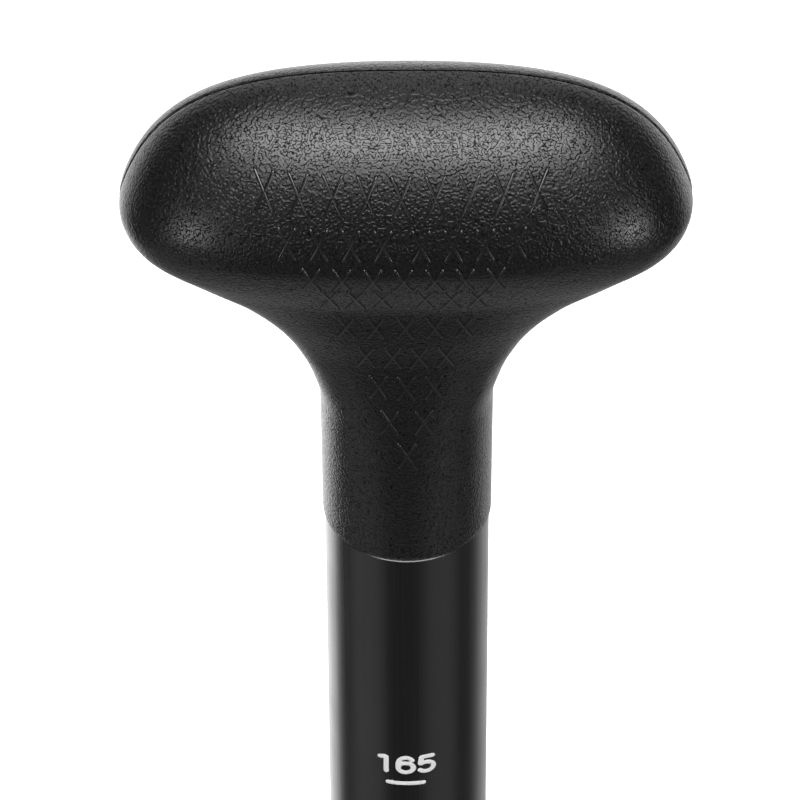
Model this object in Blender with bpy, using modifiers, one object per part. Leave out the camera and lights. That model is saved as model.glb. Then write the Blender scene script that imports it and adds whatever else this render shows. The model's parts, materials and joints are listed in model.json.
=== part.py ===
"""Adjustable three-piece stand-up paddle, modelled upright in metres with +Z up the shaft.

The grip is at the top and the blade at the bottom.  The origin is on the shaft's axis at the
grip's neck, where a hand or a rack's fork holds the paddle.  The front, which carries the
length scale, faces -Y.  The blade leans towards +Y.  The shaft is modelled at its 170 cm mark.
"""
import math

import bmesh
import bpy
from mathutils import Matrix, Vector

# Clearance between pieces that touch or slide, the small chamfer that moulded and turned
# pieces share, and how far a cut runs past what it cuts
FIT = 0.0003
CHAMFER = 0.0010
FINE_CHAMFER = 0.0005
CUT_PAST = 0.002

# Distances below which neighbouring points are one, and corners sharper than which are kept
# crisp or rounded
WELD = 0.000001
CURVE_WELD = 0.000005
CRISP_CORNER = math.radians(38)
ROUNDED_CORNER = math.radians(40)

# Lengths along the shaft
SHORTEST_SETTING = 1.650
SHOWN_PULLED_OUT = 0.050
MARK_STEP = 0.050
MARK_COUNT = 11
FIRST_MARK_BELOW_RIM = 0.0522
LEAST_INSERTION = 0.100
RIM_BELOW_HOLD = 0.020
BUSH_ABOVE_BUNG = 0.015

# Aluminium tubes
UPPER_TUBE_R = 0.0130
UPPER_TUBE_WALL = 0.0012
MAIN_TUBE_WALL = 0.0012
GROOVE_WIDTH = 0.0040
GROOVE_DEPTH = 0.0009
TUBE_SIDES = 36

# Palm grip, heights above the rim where the tube enters it
CROWN_HEIGHT = 0.0900
COLLAR_PROUD = 0.00035
HEAD_HALF_WIDTH = 0.0429
WIDEST_HEIGHT = 0.0628
HEAD_ARCH_POWER = 2.40
FRONT_DEPTH = 0.0189
FRONT_PEAK_HEIGHT = 0.0664
FRONT_ARCH_POWER = 1.60
BACK_DEPTH = 0.0144
BACK_PEAK_HEIGHT = 0.0562
BACK_ARCH_POWER = 1.78
SECTION_POWER = 2.60
SHELL_WALL = 0.0026
NECK_ROWS = (0.0, 0.22, 0.42, 0.50, 0.57, 0.64, 0.70, 0.755, 0.80, 0.84, 0.875, 0.91, 0.95, 1.0)
ARCH_ROWS = 11
LAST_ROW_SHARE = 0.0008
SHELL_COLUMNS = 24
CAVITY_COLUMNS = 14
CAVITY_FLARE_ROWS = 4
CAVITY_ARCH_ROWS = 6

# Share of the way out from the collar to the head, by share of the height of the widest place
WING_FLARE = (
    (0.00, 0.000), (0.41, 0.005), (0.53, 0.045), (0.635, 0.136), (0.726, 0.288),
    (0.807, 0.475), (0.878, 0.716), (0.939, 0.920), (1.00, 1.000),
)
FRONT_FLARE = (
    (0.00, 0.00), (0.40, 0.04), (0.53, 0.07), (0.63, 0.12), (0.74, 0.30),
    (0.84, 0.50), (0.89, 0.72), (0.94, 0.92), (1.00, 1.00),
)

# Core that ties the grip's shells to the tube
CORE_WALL = 0.0025
CORE_IN_TUBE = 0.035
CORE_FLANGE_HEIGHT = 0.040
CORE_FLANGE_THICK = 0.0043
CORE_FLANGE_PROUD = 0.0008
CAVITY_FLOOR = 0.050
CAVITY_MOUTH_R = 0.0100

# End bush of the upper tube and its ring
BUSH_PLUG_LENGTH = 0.018
BUSH_LEAD_LENGTH = 0.003
BUSH_LEAD_DEPTH = 0.0015
BUSH_HEAD_LENGTH = 0.008
RING_SECTION_R = 0.0010
RING_SIDES = 8

# Clamp
COLLAR_WALL = 0.0032
COLLAR_HEIGHT = 0.034
LIP_HEIGHT = 0.0035
SPLIT_WIDTH = 0.0030
EAR_THICK = 0.0060
EAR_REACH = 0.0120
EAR_CORNER_R = 0.0025
COLLAR_SIDES = 44
COLLAR_EDGE = 0.0009
SLIT_WIDTH = 0.0020
SLIT_LENGTH = 0.034
SLIT_RELIEF_R = 0.0020
SCREW_R = 0.0025
SCREW_HEAD_R = 0.00425
SCREW_HEAD_HEIGHT = 0.0045
SCREW_HEX_R = 0.0023
SCREW_HEX_DEPTH = 0.0025
SCREW_PAST_PIVOT = 0.0028
SMALL_SIDES = 20
WASHER_THICK = 0.0010
WASHER_R = 0.0050
SADDLE_THICK = 0.0018
SADDLE_HALF_WIDTH = 0.0056
SADDLE_EDGE = 0.0004
BARREL_R = 0.0040
CAM_R = 0.0064
CAM_LIFT = 0.0009
CAM_FROM = math.radians(190)
CAM_TO = math.radians(450)
CAM_SIDES = 16
LEVER_HEIGHT = 0.020
LEVER_THICK = 0.0044
LEVER_CLEAR = 0.0007
LEVER_WRAP_FROM = math.radians(85)
LEVER_WRAP_TO = math.radians(188)
LEVER_LIFT_FROM = math.radians(158)
LEVER_TIP_LIFT = 0.0035
LEVER_EDGE = 0.0010
LEVER_ARM_STEPS = 18
FORK_GAP = 0.0064

# Joint between the middle and lower tubes
SPIGOT_UP = 0.060
SPIGOT_DOWN = 0.060
SPIGOT_WALL = 0.0020
FERRULE_WALL = 0.0022
FERRULE_HEIGHT = 0.020
FERRULE_LIP = 0.0015
FERRULE_TAPER_DEPTH = 0.0012
FERRULE_TAPER_HEIGHT = 0.0025
FERRULE_CHAMFER = 0.0008
PLUG_DEPTH = 0.012
PLUG_HEAD = 0.0020
SPIGOT_RIVET_ABOVE = 0.040
SPIGOT_RIVET_R = 0.0020
SPIGOT_CHAMFER = 0.0008
RIVET_HEAD_SPREAD = 1.8
RIVET_HEAD_RISE = 0.6

# Snap button
BUTTON_BELOW_JOINT = 0.030
BUTTON_R = 0.0040
BUTTON_PROUD = 0.0027
BUTTON_FLANGE_R = 0.0060
BUTTON_FLANGE_THICK = 0.0014
BUTTON_FACE_R = 0.0022
SPRING_WIDTH = 0.0080
SPRING_THICK = 0.0005
SPRING_BELOW_BUTTON = 0.006
SPRING_ABOVE_BUTTON = 0.022
SPRING_FOOT_RISE = 0.012
SPRING_FOOT_LENGTH = 0.010
SPRING_BEND_R = 0.0022

# Blade
BLADE_LENGTH = 0.430
BLADE_HALF_WIDTH = 0.100
BLADE_RAKE = math.radians(10)
BLADE_WIDEST = 0.285
BLADE_TIP_POWER = 3.0
SOCKET_WALL = 0.0025
SOCKET_LENGTH = 0.055
SOCKET_SEAT = 0.005
SOCKET_LIP = 0.0008
NECK_BLEND = 0.110
SPINE_LENGTH = 0.330
SPINE_HALF_WIDTH = 0.021
SPINE_ON_POWER_FACE = 0.55
SPINE_FALL_POWER = 1.7
PLATE_HALF_THICK = 0.0021
PLATE_EDGE_POWER = 6
BLADE_BODY_ROWS = 13
BLADE_TIP_ROWS = 11
BLADE_COLUMNS = 9
BLADE_COLUMN_POWER = 1.3
BLADE_ROW_POWER = 0.9
LEAN_STEPS = 8
BLADE_FLARE = (
    (0.00, 0.000), (0.10, 0.020), (0.22, 0.120), (0.36, 0.370),
    (0.53, 0.665), (0.70, 0.870), (0.87, 0.980), (1.00, 1.000),
)
BLADE_RIVET_ABOVE = 0.030
BLADE_RIVET_R = 0.0024
FLOAT_LENGTH = 0.080
FLOAT_ABOVE_RIVET = 0.012

# Places that follow from the sizes above
MAIN_BORE = UPPER_TUBE_R + FIT
MAIN_TUBE_R = MAIN_BORE + MAIN_TUBE_WALL
UPPER_BORE = UPPER_TUBE_R - UPPER_TUBE_WALL
RIM_Z = -RIM_BELOW_HOLD
CROWN_Z = RIM_Z + CROWN_HEIGHT
TIP_Z = CROWN_Z - SHORTEST_SETTING - SHOWN_PULLED_OUT
CLAMP_TOP_Z = RIM_Z - FIRST_MARK_BELOW_RIM - SHOWN_PULLED_OUT
UPPER_END_Z = RIM_Z - FIRST_MARK_BELOW_RIM - (MARK_COUNT - 1) * MARK_STEP - LEAST_INSERTION
BUNG_TOP_Z = UPPER_END_Z - SHOWN_PULLED_OUT - FIT - BUSH_HEAD_LENGTH - BUSH_ABOVE_BUNG
JOINT_Z = BUNG_TOP_Z - PLUG_HEAD - FIT - SPIGOT_UP
BUTTON_Z = JOINT_Z - BUTTON_BELOW_JOINT
GROOVE_FLOOR = UPPER_TUBE_R - GROOVE_DEPTH
COLLAR_BORE = MAIN_TUBE_R + FIT
COLLAR_R = COLLAR_BORE + COLLAR_WALL
CLAMP_MID_Z = CLAMP_TOP_Z - COLLAR_HEIGHT / 2
SCREW_X = COLLAR_R + EAR_REACH / 2
EAR_FACE = SPLIT_WIDTH / 2 + EAR_THICK
SADDLE_FACE = EAR_FACE + FIT + SADDLE_THICK
PIVOT_Y = SADDLE_FACE + FIT + CAM_R + CAM_LIFT
SOCKET_R = MAIN_TUBE_R + FIT + SOCKET_WALL


def new_collection(name):
    """Add an empty collection to the scene."""
    collection = bpy.data.collections.new(name)
    bpy.context.scene.collection.children.link(collection)
    return collection


def finish(name, colour, roughness, metallic=0.0):
    """A plain surface: base colour, roughness and how metallic it is."""
    material = bpy.data.materials.new(name)
    material.use_nodes = True
    shader = material.node_tree.nodes["Principled BSDF"]
    shader.inputs["Base Color"].default_value = (*colour, 1.0)
    shader.inputs["Roughness"].default_value = roughness
    shader.inputs["Metallic"].default_value = metallic
    material.diffuse_color = (*colour, 1.0)
    return material


def add_object(name, data, collection, place=(0.0, 0.0, 0.0), parent=None):
    """Put data in the scene at a world place, under a parent that only moves it."""
    item = bpy.data.objects.new(name, data)
    collection.objects.link(item)
    offset = Vector(place)
    carrier = parent
    while carrier is not None:
        offset -= carrier.location
        carrier = carrier.parent
    item.parent = parent
    item.location = offset
    return item


def dress(item, material):
    """Give a piece its finish and smooth shading with crisp corners."""
    item.data.materials.append(material)
    item.data.shade_smooth()
    item.data.set_sharp_from_angle(angle=CRISP_CORNER)


def mesh_from(bm, name):
    """Close a bmesh into a mesh whose faces point out."""
    bmesh.ops.remove_doubles(bm, verts=bm.verts, dist=WELD)
    bmesh.ops.recalc_face_normals(bm, faces=bm.faces)
    mesh = bpy.data.meshes.new(name)
    bm.to_mesh(mesh)
    bm.free()
    return mesh


def turned(name, profile, place, parent, material, steps=TUBE_SIDES, closed=True):
    """Turn a profile about Z: points are (radius, height), down the outer side first."""
    mesh = bpy.data.meshes.new(name)
    points = [(radius, 0.0, height) for radius, height in profile]
    edges = [(i, i + 1) for i in range(len(points) - 1)]
    if closed:
        edges.append((len(points) - 1, 0))
    mesh.from_pydata(points, edges, [])
    item = add_object(name, mesh, PARTS, place, parent)
    screw = item.modifiers.new("turn", "SCREW")
    screw.axis = "Z"
    screw.angle = math.tau
    screw.steps = steps
    screw.render_steps = steps
    screw.use_merge_vertices = True
    screw.merge_threshold = CURVE_WELD
    mesh.materials.append(material)
    return item


def ring_profile(outer, inner, top, bottom, chamfer=0.0):
    """Profile of a plain ring whose outer corners may be chamfered."""
    corners = [(outer, top - chamfer), (outer, bottom + chamfer)]
    if chamfer > 0.0:
        corners = [(outer - chamfer, top)] + corners + [(outer - chamfer, bottom)]
    return corners + [(inner, bottom), (inner, top)]


def solid_copy(item):
    """Turn a curve or a modified object into plain welded mesh data under the same name."""
    bpy.context.view_layer.update()
    evaluated = item.evaluated_get(bpy.context.evaluated_depsgraph_get())
    mesh = bpy.data.meshes.new_from_object(evaluated)
    bm = bmesh.new()
    bm.from_mesh(mesh)
    bpy.data.meshes.remove(mesh)
    bmesh.ops.remove_doubles(bm, verts=bm.verts, dist=CURVE_WELD)
    bmesh.ops.recalc_face_normals(bm, faces=bm.faces)
    name = item.name
    world = item.matrix_world.copy()
    parent = item.parent
    bpy.data.objects.remove(item)
    solid = add_object(name, mesh_from(bm, name), PARTS, world.translation, parent)
    solid.rotation_euler = world.to_euler()
    return solid


def flat_outline(name, loops, height, place, parent):
    """Fill closed loops of (x, y) points and raise them to a height, centred on the place."""
    curve = bpy.data.curves.new(name, "CURVE")
    curve.dimensions = "2D"
    curve.fill_mode = "BOTH"
    curve.extrude = height / 2
    for loop in loops:
        spline = curve.splines.new("POLY")
        spline.points.add(len(loop) - 1)
        for point, (x, y) in zip(spline.points, loop):
            point.co = (x, y, 0.0, 1.0)
        spline.use_cyclic_u = True
    return solid_copy(add_object(name, curve, PARTS, place, parent))


def soften(item, width):
    """Take the edge off the corners of a piece."""
    bevel = item.modifiers.new("soft corners", "BEVEL")
    bevel.width = width
    bevel.segments = 1
    bevel.limit_method = "ANGLE"
    bevel.angle_limit = ROUNDED_CORNER


def make_cutter(name, bm):
    """Keep a shape as a cutter that is neither rendered nor built."""
    cutter = add_object(name, mesh_from(bm, name), CUTTERS)
    cutter.hide_render = True
    cutter.display_type = "WIRE"
    return cutter


def rod_cutter(name, radius, length, middle, axis="Z", sides=20):
    """A closed cylinder about an axis, centred on a world point."""
    bm = bmesh.new()
    bmesh.ops.create_cone(bm, cap_ends=True, segments=sides, radius1=radius,
                          radius2=radius, depth=length)
    turn = {"X": Matrix.Rotation(math.pi / 2, 4, "Y"),
            "Y": Matrix.Rotation(math.pi / 2, 4, "X"),
            "Z": Matrix.Identity(4)}[axis]
    bm.transform(Matrix.Translation(middle) @ turn)
    return make_cutter(name, bm)


def box_cutter(name, low, high):
    """A closed box between two world corners."""
    bm = bmesh.new()
    bmesh.ops.create_cube(bm, size=1.0)
    middle = (Vector(low) + Vector(high)) / 2
    size = Vector(high) - Vector(low)
    bm.transform(Matrix.Translation(middle) @ Matrix.Diagonal((*size, 1.0)))
    return make_cutter(name, bm)


def cut(item, cutter):
    """Take a cutter away from a piece."""
    boolean = item.modifiers.new(cutter.name, "BOOLEAN")
    boolean.operation = "DIFFERENCE"
    boolean.solver = "EXACT"
    boolean.object = cutter


def between(rows, share):
    """Smooth value at a share, through rows of (share, value) that rise steadily."""
    slopes = [(b[1] - a[1]) / (b[0] - a[0]) for a, b in zip(rows, rows[1:])]
    tangents = [slopes[0]]
    for before, after in zip(slopes, slopes[1:]):
        steady = before * after > 0.0
        tangents.append(2 * before * after / (before + after) if steady else 0.0)
    tangents.append(0.0)
    for i, slope in enumerate(slopes):
        start, end = rows[i], rows[i + 1]
        if share <= end[0] or i == len(slopes) - 1:
            span = end[0] - start[0]
            t = min(max((share - start[0]) / span, 0.0), 1.0)
            rise = t * t * (3 - 2 * t)
            lead = t * (1 - t) * (1 - t) * span * tangents[i]
            trail = t * t * (t - 1) * span * tangents[i + 1]
            return start[1] + (end[1] - start[1]) * rise + lead + trail


def ease(share):
    """Smooth step from 0 to 1."""
    share = min(max(share, 0.0), 1.0)
    return share * share * (3 - 2 * share)


def arch(height, foot, crown, power):
    """Share of the full width that is left at a height between an arch's foot and crown."""
    climb = min(max((height - foot) / (crown - foot), 0.0), 1.0)
    return max(1.0 - climb ** power, 0.0) ** (1.0 / power)


def circle_points(radius, sides, start=0.0, end=math.tau, middle=(0.0, 0.0), ends=False):
    """Points round an arc, without its last one unless it is asked for."""
    count = sides + 1 if ends else sides
    angles = [start + (end - start) * i / sides for i in range(count)]
    return [(middle[0] + radius * math.cos(a), middle[1] + radius * math.sin(a)) for a in angles]


# Palm grip


def grip_section(height, inset=0.0):
    """Half width, front depth and back depth of the grip at a height above the rim."""
    collar = UPPER_TUBE_R + COLLAR_PROUD
    crown = CROWN_HEIGHT - inset
    if height < WIDEST_HEIGHT:
        flare = between(WING_FLARE, height / WIDEST_HEIGHT)
        wide = collar + (HEAD_HALF_WIDTH - collar) * flare - inset
    else:
        wide = (HEAD_HALF_WIDTH - inset) * arch(height, WIDEST_HEIGHT, crown, HEAD_ARCH_POWER)
    if height < FRONT_PEAK_HEIGHT:
        flare = between(FRONT_FLARE, height / FRONT_PEAK_HEIGHT)
        front = collar + (FRONT_DEPTH - collar) * flare - inset
    else:
        front = (FRONT_DEPTH - inset) * arch(height, FRONT_PEAK_HEIGHT, crown, FRONT_ARCH_POWER)
    if height < BACK_PEAK_HEIGHT:
        back = collar + (BACK_DEPTH - collar) * ease(height / BACK_PEAK_HEIGHT) - inset
    else:
        back = (BACK_DEPTH - inset) * arch(height, BACK_PEAK_HEIGHT, crown, BACK_ARCH_POWER)
    return wide, front, back


def half_row(bm, half_width, depth, height, side, columns, power):
    """Vertices round one side of the grip at one height, from its -X edge to its +X edge."""
    row = []
    for i in range(columns + 1):
        turn = math.pi * i / columns
        across = -math.cos(turn)
        outward = max(math.sin(turn), 0.0) if 0 < i < columns else 0.0
        x = half_width * math.copysign(abs(across) ** (2 / power), across)
        y = depth * outward ** (2 / power)
        row.append(bm.verts.new((x, side * (FIT / 2 + y), height)))
    return row


def skin_rows(bm, rows, apex):
    """Join neighbouring rows with faces and close the last row onto the apex."""
    for low, high in zip(rows, rows[1:]):
        for i in range(len(low) - 1):
            bm.faces.new((low[i], low[i + 1], high[i + 1], high[i]))
    for i in range(len(rows[-1]) - 1):
        bm.faces.new((rows[-1][i], rows[-1][i + 1], apex))


def arch_heights(foot, crown):
    """Heights that step evenly round an arch, without its crown."""
    return [foot + (crown - foot) * math.sin(math.pi / 2 * i / ARCH_ROWS)
            for i in range(1, ARCH_ROWS)] + [crown - (crown - foot) * LAST_ROW_SHARE]


def grip_shell(name, side):
    """One moulded half of the grip: its outer skin, its cavity and its flat parting face."""
    bm = bmesh.new()
    neck = [WIDEST_HEIGHT * share for share in NECK_ROWS]
    outer = []
    for height in neck + arch_heights(WIDEST_HEIGHT, CROWN_HEIGHT):
        wide, front, back = grip_section(height)
        power = 2.0 + (SECTION_POWER - 2.0) * ease(height / WIDEST_HEIGHT)
        depth = front if side < 0 else back
        outer.append(half_row(bm, wide, depth, height, side, SHELL_COLUMNS, power))
    outer_apex = bm.verts.new((0.0, side * FIT / 2, CROWN_HEIGHT))

    core_bore = UPPER_BORE
    flange_bore = core_bore + CORE_FLANGE_PROUD
    flange_top = CORE_FLANGE_HEIGHT + CORE_FLANGE_THICK + 2 * FIT
    bores = [(0.0, core_bore), (CORE_FLANGE_HEIGHT, core_bore), (CORE_FLANGE_HEIGHT, flange_bore),
             (flange_top, flange_bore), (flange_top, CAVITY_MOUTH_R), (CAVITY_FLOOR, CAVITY_MOUTH_R)]
    inner = [half_row(bm, radius, radius - FIT / 2, height, side, CAVITY_COLUMNS, 2.0)
             for height, radius in bores]
    top = CROWN_HEIGHT - SHELL_WALL
    step = (WIDEST_HEIGHT - CAVITY_FLOOR) / CAVITY_FLARE_ROWS
    risers = [CAVITY_FLOOR + step * i for i in range(1, CAVITY_FLARE_ROWS + 1)]
    risers += [WIDEST_HEIGHT + (top - WIDEST_HEIGHT) * math.sin(math.pi / 2 * i / CAVITY_ARCH_ROWS)
               for i in range(1, CAVITY_ARCH_ROWS)]
    for height in risers:
        wide, front, back = grip_section(height, SHELL_WALL)
        depth = (front if side < 0 else back) - FIT / 2
        inner.append(half_row(bm, wide, depth, height, side, CAVITY_COLUMNS, SECTION_POWER))
    inner_apex = bm.verts.new((0.0, side * FIT / 2, top))

    skin_rows(bm, outer, outer_apex)
    skin_rows(bm, inner, inner_apex)
    bm.faces.new(outer[0] + inner[0][::-1])
    left_out = [row[0] for row in outer]
    right_out = [row[-1] for row in outer][::-1]
    right_in = [row[-1] for row in inner]
    left_in = [row[0] for row in inner][::-1]
    bm.faces.new(left_out + [outer_apex] + right_out + right_in + [inner_apex] + left_in)
    shell = add_object(name, mesh_from(bm, name), PARTS, (0.0, 0.0, RIM_Z), PADDLE)
    dress(shell, GRIP_PLASTIC)


def make_grip():
    """The two shells of the palm grip and the core that they close round."""
    grip_shell("grip_front_shell", -1)
    grip_shell("grip_back_shell", 1)
    core_r = UPPER_BORE - FIT
    flange_r = core_r + CORE_FLANGE_PROUD
    flange_low = CORE_FLANGE_HEIGHT + FIT
    flange_top = flange_low + CORE_FLANGE_THICK
    profile = [(flange_r, flange_top), (flange_r, flange_low), (core_r, flange_low),
               (core_r, -CORE_IN_TUBE + CHAMFER), (core_r - CHAMFER, -CORE_IN_TUBE),
               (core_r - CORE_WALL, -CORE_IN_TUBE), (core_r - CORE_WALL, flange_top)]
    core = turned("grip_core", profile, (0.0, 0.0, RIM_Z), PADDLE, INNER_PLASTIC)
    cut(core, groove_clearance("core_slot", RIM_Z - CORE_IN_TUBE - CUT_PAST, RIM_Z + FIT))


def groove_clearance(name, low, high):
    """Slot that lets a plug pass the inward fold of the upper tube's groove."""
    half = GROOVE_WIDTH / 2 + UPPER_TUBE_WALL + FIT
    floor = GROOVE_FLOOR - UPPER_TUBE_WALL - FIT
    return box_cutter(name, (-half, floor, low), (half, UPPER_TUBE_R, high))


# Upper tube


def grooved_circle(radius, half_width, floor):
    """A circle whose +Y side is folded in to a flat floor."""
    edge = math.asin(half_width / radius)
    start = math.pi / 2 + edge
    round_part = circle_points(radius, TUBE_SIDES, start, start + math.tau - 2 * edge, ends=True)
    return round_part + [(half_width, floor), (-half_width, floor)]


def make_upper_section():
    """The grooved upper tube with the bush that guides its lower end."""
    length = RIM_Z - FIT - UPPER_END_Z
    middle = (RIM_Z - FIT + UPPER_END_Z) / 2
    outside = grooved_circle(UPPER_TUBE_R, GROOVE_WIDTH / 2, GROOVE_FLOOR)
    inside = grooved_circle(UPPER_BORE, GROOVE_WIDTH / 2 + UPPER_TUBE_WALL,
                            GROOVE_FLOOR - UPPER_TUBE_WALL)
    tube = flat_outline("upper_tube", [outside, inside], length, (0.0, 0.0, middle), PADDLE)
    dress(tube, BLACK_ALUMINIUM)

    plug_r = UPPER_BORE - FIT
    groove_half = RING_SECTION_R + FIT
    ring_r = UPPER_TUBE_R - RING_SECTION_R
    groove_floor = ring_r - RING_SECTION_R - FIT
    ring_z = -FIT - BUSH_HEAD_LENGTH / 2
    head_low = -FIT - BUSH_HEAD_LENGTH
    profile = [(0.0, BUSH_PLUG_LENGTH), (plug_r - BUSH_LEAD_DEPTH, BUSH_PLUG_LENGTH),
               (plug_r, BUSH_PLUG_LENGTH - BUSH_LEAD_LENGTH), (plug_r, -FIT), (UPPER_TUBE_R, -FIT),
               (UPPER_TUBE_R, ring_z + groove_half), (groove_floor, ring_z + groove_half),
               (groove_floor, ring_z - groove_half), (UPPER_TUBE_R, ring_z - groove_half),
               (UPPER_TUBE_R, head_low + CHAMFER), (UPPER_TUBE_R - CHAMFER, head_low),
               (0.0, head_low)]
    bush = turned("upper_end_bush", profile, (0.0, 0.0, UPPER_END_Z), PADDLE, INNER_PLASTIC,
                  closed=False)
    slot_top = UPPER_END_Z + BUSH_PLUG_LENGTH + CUT_PAST
    cut(bush, groove_clearance("bush_slot", UPPER_END_Z, slot_top))
    section = circle_points(RING_SECTION_R, RING_SIDES, 0.0, -math.tau, (ring_r, ring_z))
    turned("bush_seal_ring", section, (0.0, 0.0, UPPER_END_Z), PADDLE, RUBBER)


# Clamp


def make_middle_tube():
    """The middle tube, slit at its top so that the clamp can squeeze it."""
    top = CLAMP_TOP_Z - LIP_HEIGHT - FIT
    low = JOINT_Z + FIT / 2 + FERRULE_LIP + FIT
    tube = turned("middle_tube", ring_profile(MAIN_TUBE_R, MAIN_BORE, top, low),
                  (0.0, 0.0, 0.0), SLIDE, BLACK_ALUMINIUM)
    half = SLIT_WIDTH / 2
    slit_low = top - SLIT_LENGTH
    slit_top = top + CUT_PAST
    cut(tube, box_cutter("tube_slit", (0.0, -half, slit_low), (MAIN_TUBE_R * 2, half, slit_top)))
    relief = (MAIN_TUBE_R, 0.0, slit_low)
    cut(tube, rod_cutter("slit_relief", SLIT_RELIEF_R, MAIN_TUBE_R, relief, "X"))
    cut(tube, rod_cutter("middle_rivet_hole", SPIGOT_RIVET_R + FIT, MAIN_TUBE_R * 3,
                         (0.0, 0.0, JOINT_Z + SPIGOT_RIVET_ABOVE), "X"))


def collar_outline():
    """Outline of the clamp's collar: a ring's outside with two ears towards +X."""
    root = math.asin(EAR_FACE / COLLAR_R)
    reach = COLLAR_R + EAR_REACH
    round_part = circle_points(COLLAR_R, COLLAR_SIDES, root, math.tau - root, ends=True)
    corner = EAR_CORNER_R
    low_corner = circle_points(corner, 4, -math.pi / 2, 0.0,
                               (reach - corner, -EAR_FACE + corner), ends=True)
    high_corner = circle_points(corner, 4, 0.0, math.pi / 2,
                                (reach - corner, EAR_FACE - corner), ends=True)
    return round_part + low_corner + high_corner


def make_clamp_collar():
    """The split collar that squeezes the slit tube, with its key in the upper tube's groove."""
    collar = flat_outline("clamp_collar", [collar_outline()], COLLAR_HEIGHT,
                          (0.0, 0.0, CLAMP_MID_Z), SLIDE)
    soften(collar, COLLAR_EDGE)
    low = CLAMP_TOP_Z - COLLAR_HEIGHT
    seat_z = CLAMP_TOP_Z - LIP_HEIGHT
    bore_length = seat_z - low + CUT_PAST
    cut(collar, rod_cutter("collar_bore", COLLAR_BORE, bore_length,
                           (0.0, 0.0, seat_z - bore_length / 2), sides=TUBE_SIDES))
    key_half = GROOVE_WIDTH / 2 - FIT
    mouth = grooved_circle(MAIN_BORE, key_half, GROOVE_FLOOR + FIT)
    lip_middle = (0.0, 0.0, (seat_z + CLAMP_TOP_Z) / 2)
    lip = flat_outline("lip_bore", [mouth], LIP_HEIGHT + 2 * CUT_PAST, lip_middle, None)
    PARTS.objects.unlink(lip)
    CUTTERS.objects.link(lip)
    lip.hide_render = True
    lip.display_type = "WIRE"
    cut(collar, lip)
    cut(collar, box_cutter("collar_split", (0.0, -SPLIT_WIDTH / 2, low - CUT_PAST),
                           (SCREW_X * 2, SPLIT_WIDTH / 2, CLAMP_TOP_Z + CUT_PAST)))
    cut(collar, rod_cutter("ear_hole", SCREW_R + FIT, EAR_FACE * 4,
                           (SCREW_X, 0.0, CLAMP_MID_Z), "Y"))
    dress(collar, CLAMP_PLASTIC)


def make_clamp_hardware():
    """The screw, washer, cam saddle and cross barrel that pull the ears together."""
    head_y = -EAR_FACE - FIT - WASHER_THICK - FIT
    screw_end = PIVOT_Y + SCREW_PAST_PIVOT
    shank = screw_end - head_y
    profile = [(0.0, SCREW_HEAD_HEIGHT), (SCREW_HEAD_R - FINE_CHAMFER, SCREW_HEAD_HEIGHT),
               (SCREW_HEAD_R, SCREW_HEAD_HEIGHT - FINE_CHAMFER), (SCREW_HEAD_R, 0.0),
               (SCREW_R, 0.0), (SCREW_R, -shank + FINE_CHAMFER), (SCREW_R - FINE_CHAMFER, -shank),
               (0.0, -shank)]
    screw = turned("clamp_screw", profile, (SCREW_X, head_y, CLAMP_MID_Z), SLIDE, STEEL,
                   SMALL_SIDES, closed=False)
    screw.rotation_euler = (math.pi / 2, 0.0, 0.0)
    socket_middle = (SCREW_X, head_y - SCREW_HEAD_HEIGHT, CLAMP_MID_Z)
    cut(screw, rod_cutter("hex_socket", SCREW_HEX_R, SCREW_HEX_DEPTH * 2, socket_middle, "Y", 6))

    washer_top = WASHER_THICK
    washer = turned("screw_washer", ring_profile(WASHER_R, SCREW_R + FIT, washer_top, 0.0),
                    (SCREW_X, -EAR_FACE - FIT, CLAMP_MID_Z), SLIDE, STEEL, SMALL_SIDES)
    washer.rotation_euler = (math.pi / 2, 0.0, 0.0)

    bm = bmesh.new()
    bmesh.ops.create_cube(bm, size=1.0)
    bm.transform(Matrix.Diagonal((2 * SADDLE_HALF_WIDTH, SADDLE_THICK, LEVER_HEIGHT, 1.0)))
    saddle_y = EAR_FACE + FIT + SADDLE_THICK / 2
    saddle = add_object("cam_saddle", mesh_from(bm, "cam_saddle"), PARTS,
                        (SCREW_X, saddle_y, CLAMP_MID_Z), SLIDE)
    soften(saddle, SADDLE_EDGE)
    cut(saddle, rod_cutter("saddle_hole", SCREW_R + FIT, SADDLE_THICK * 4,
                           (SCREW_X, saddle_y, CLAMP_MID_Z), "Y"))
    dress(saddle, CLAMP_PLASTIC)

    half = LEVER_HEIGHT / 2
    edge_r = BARREL_R - FINE_CHAMFER
    edge_z = half - FINE_CHAMFER
    barrel_profile = [(0.0, half), (edge_r, half), (BARREL_R, edge_z), (BARREL_R, -edge_z),
                      (edge_r, -half), (0.0, -half)]
    barrel = turned("lever_barrel", barrel_profile, (SCREW_X, PIVOT_Y, CLAMP_MID_Z), SLIDE,
                    STEEL, SMALL_SIDES, closed=False)
    depth = BARREL_R + SCREW_PAST_PIVOT + FIT
    cut(barrel, rod_cutter("barrel_thread", SCREW_R + FIT, depth * 2,
                           (SCREW_X, PIVOT_Y + SCREW_PAST_PIVOT + FIT - depth, CLAMP_MID_Z), "Y"))


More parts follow.
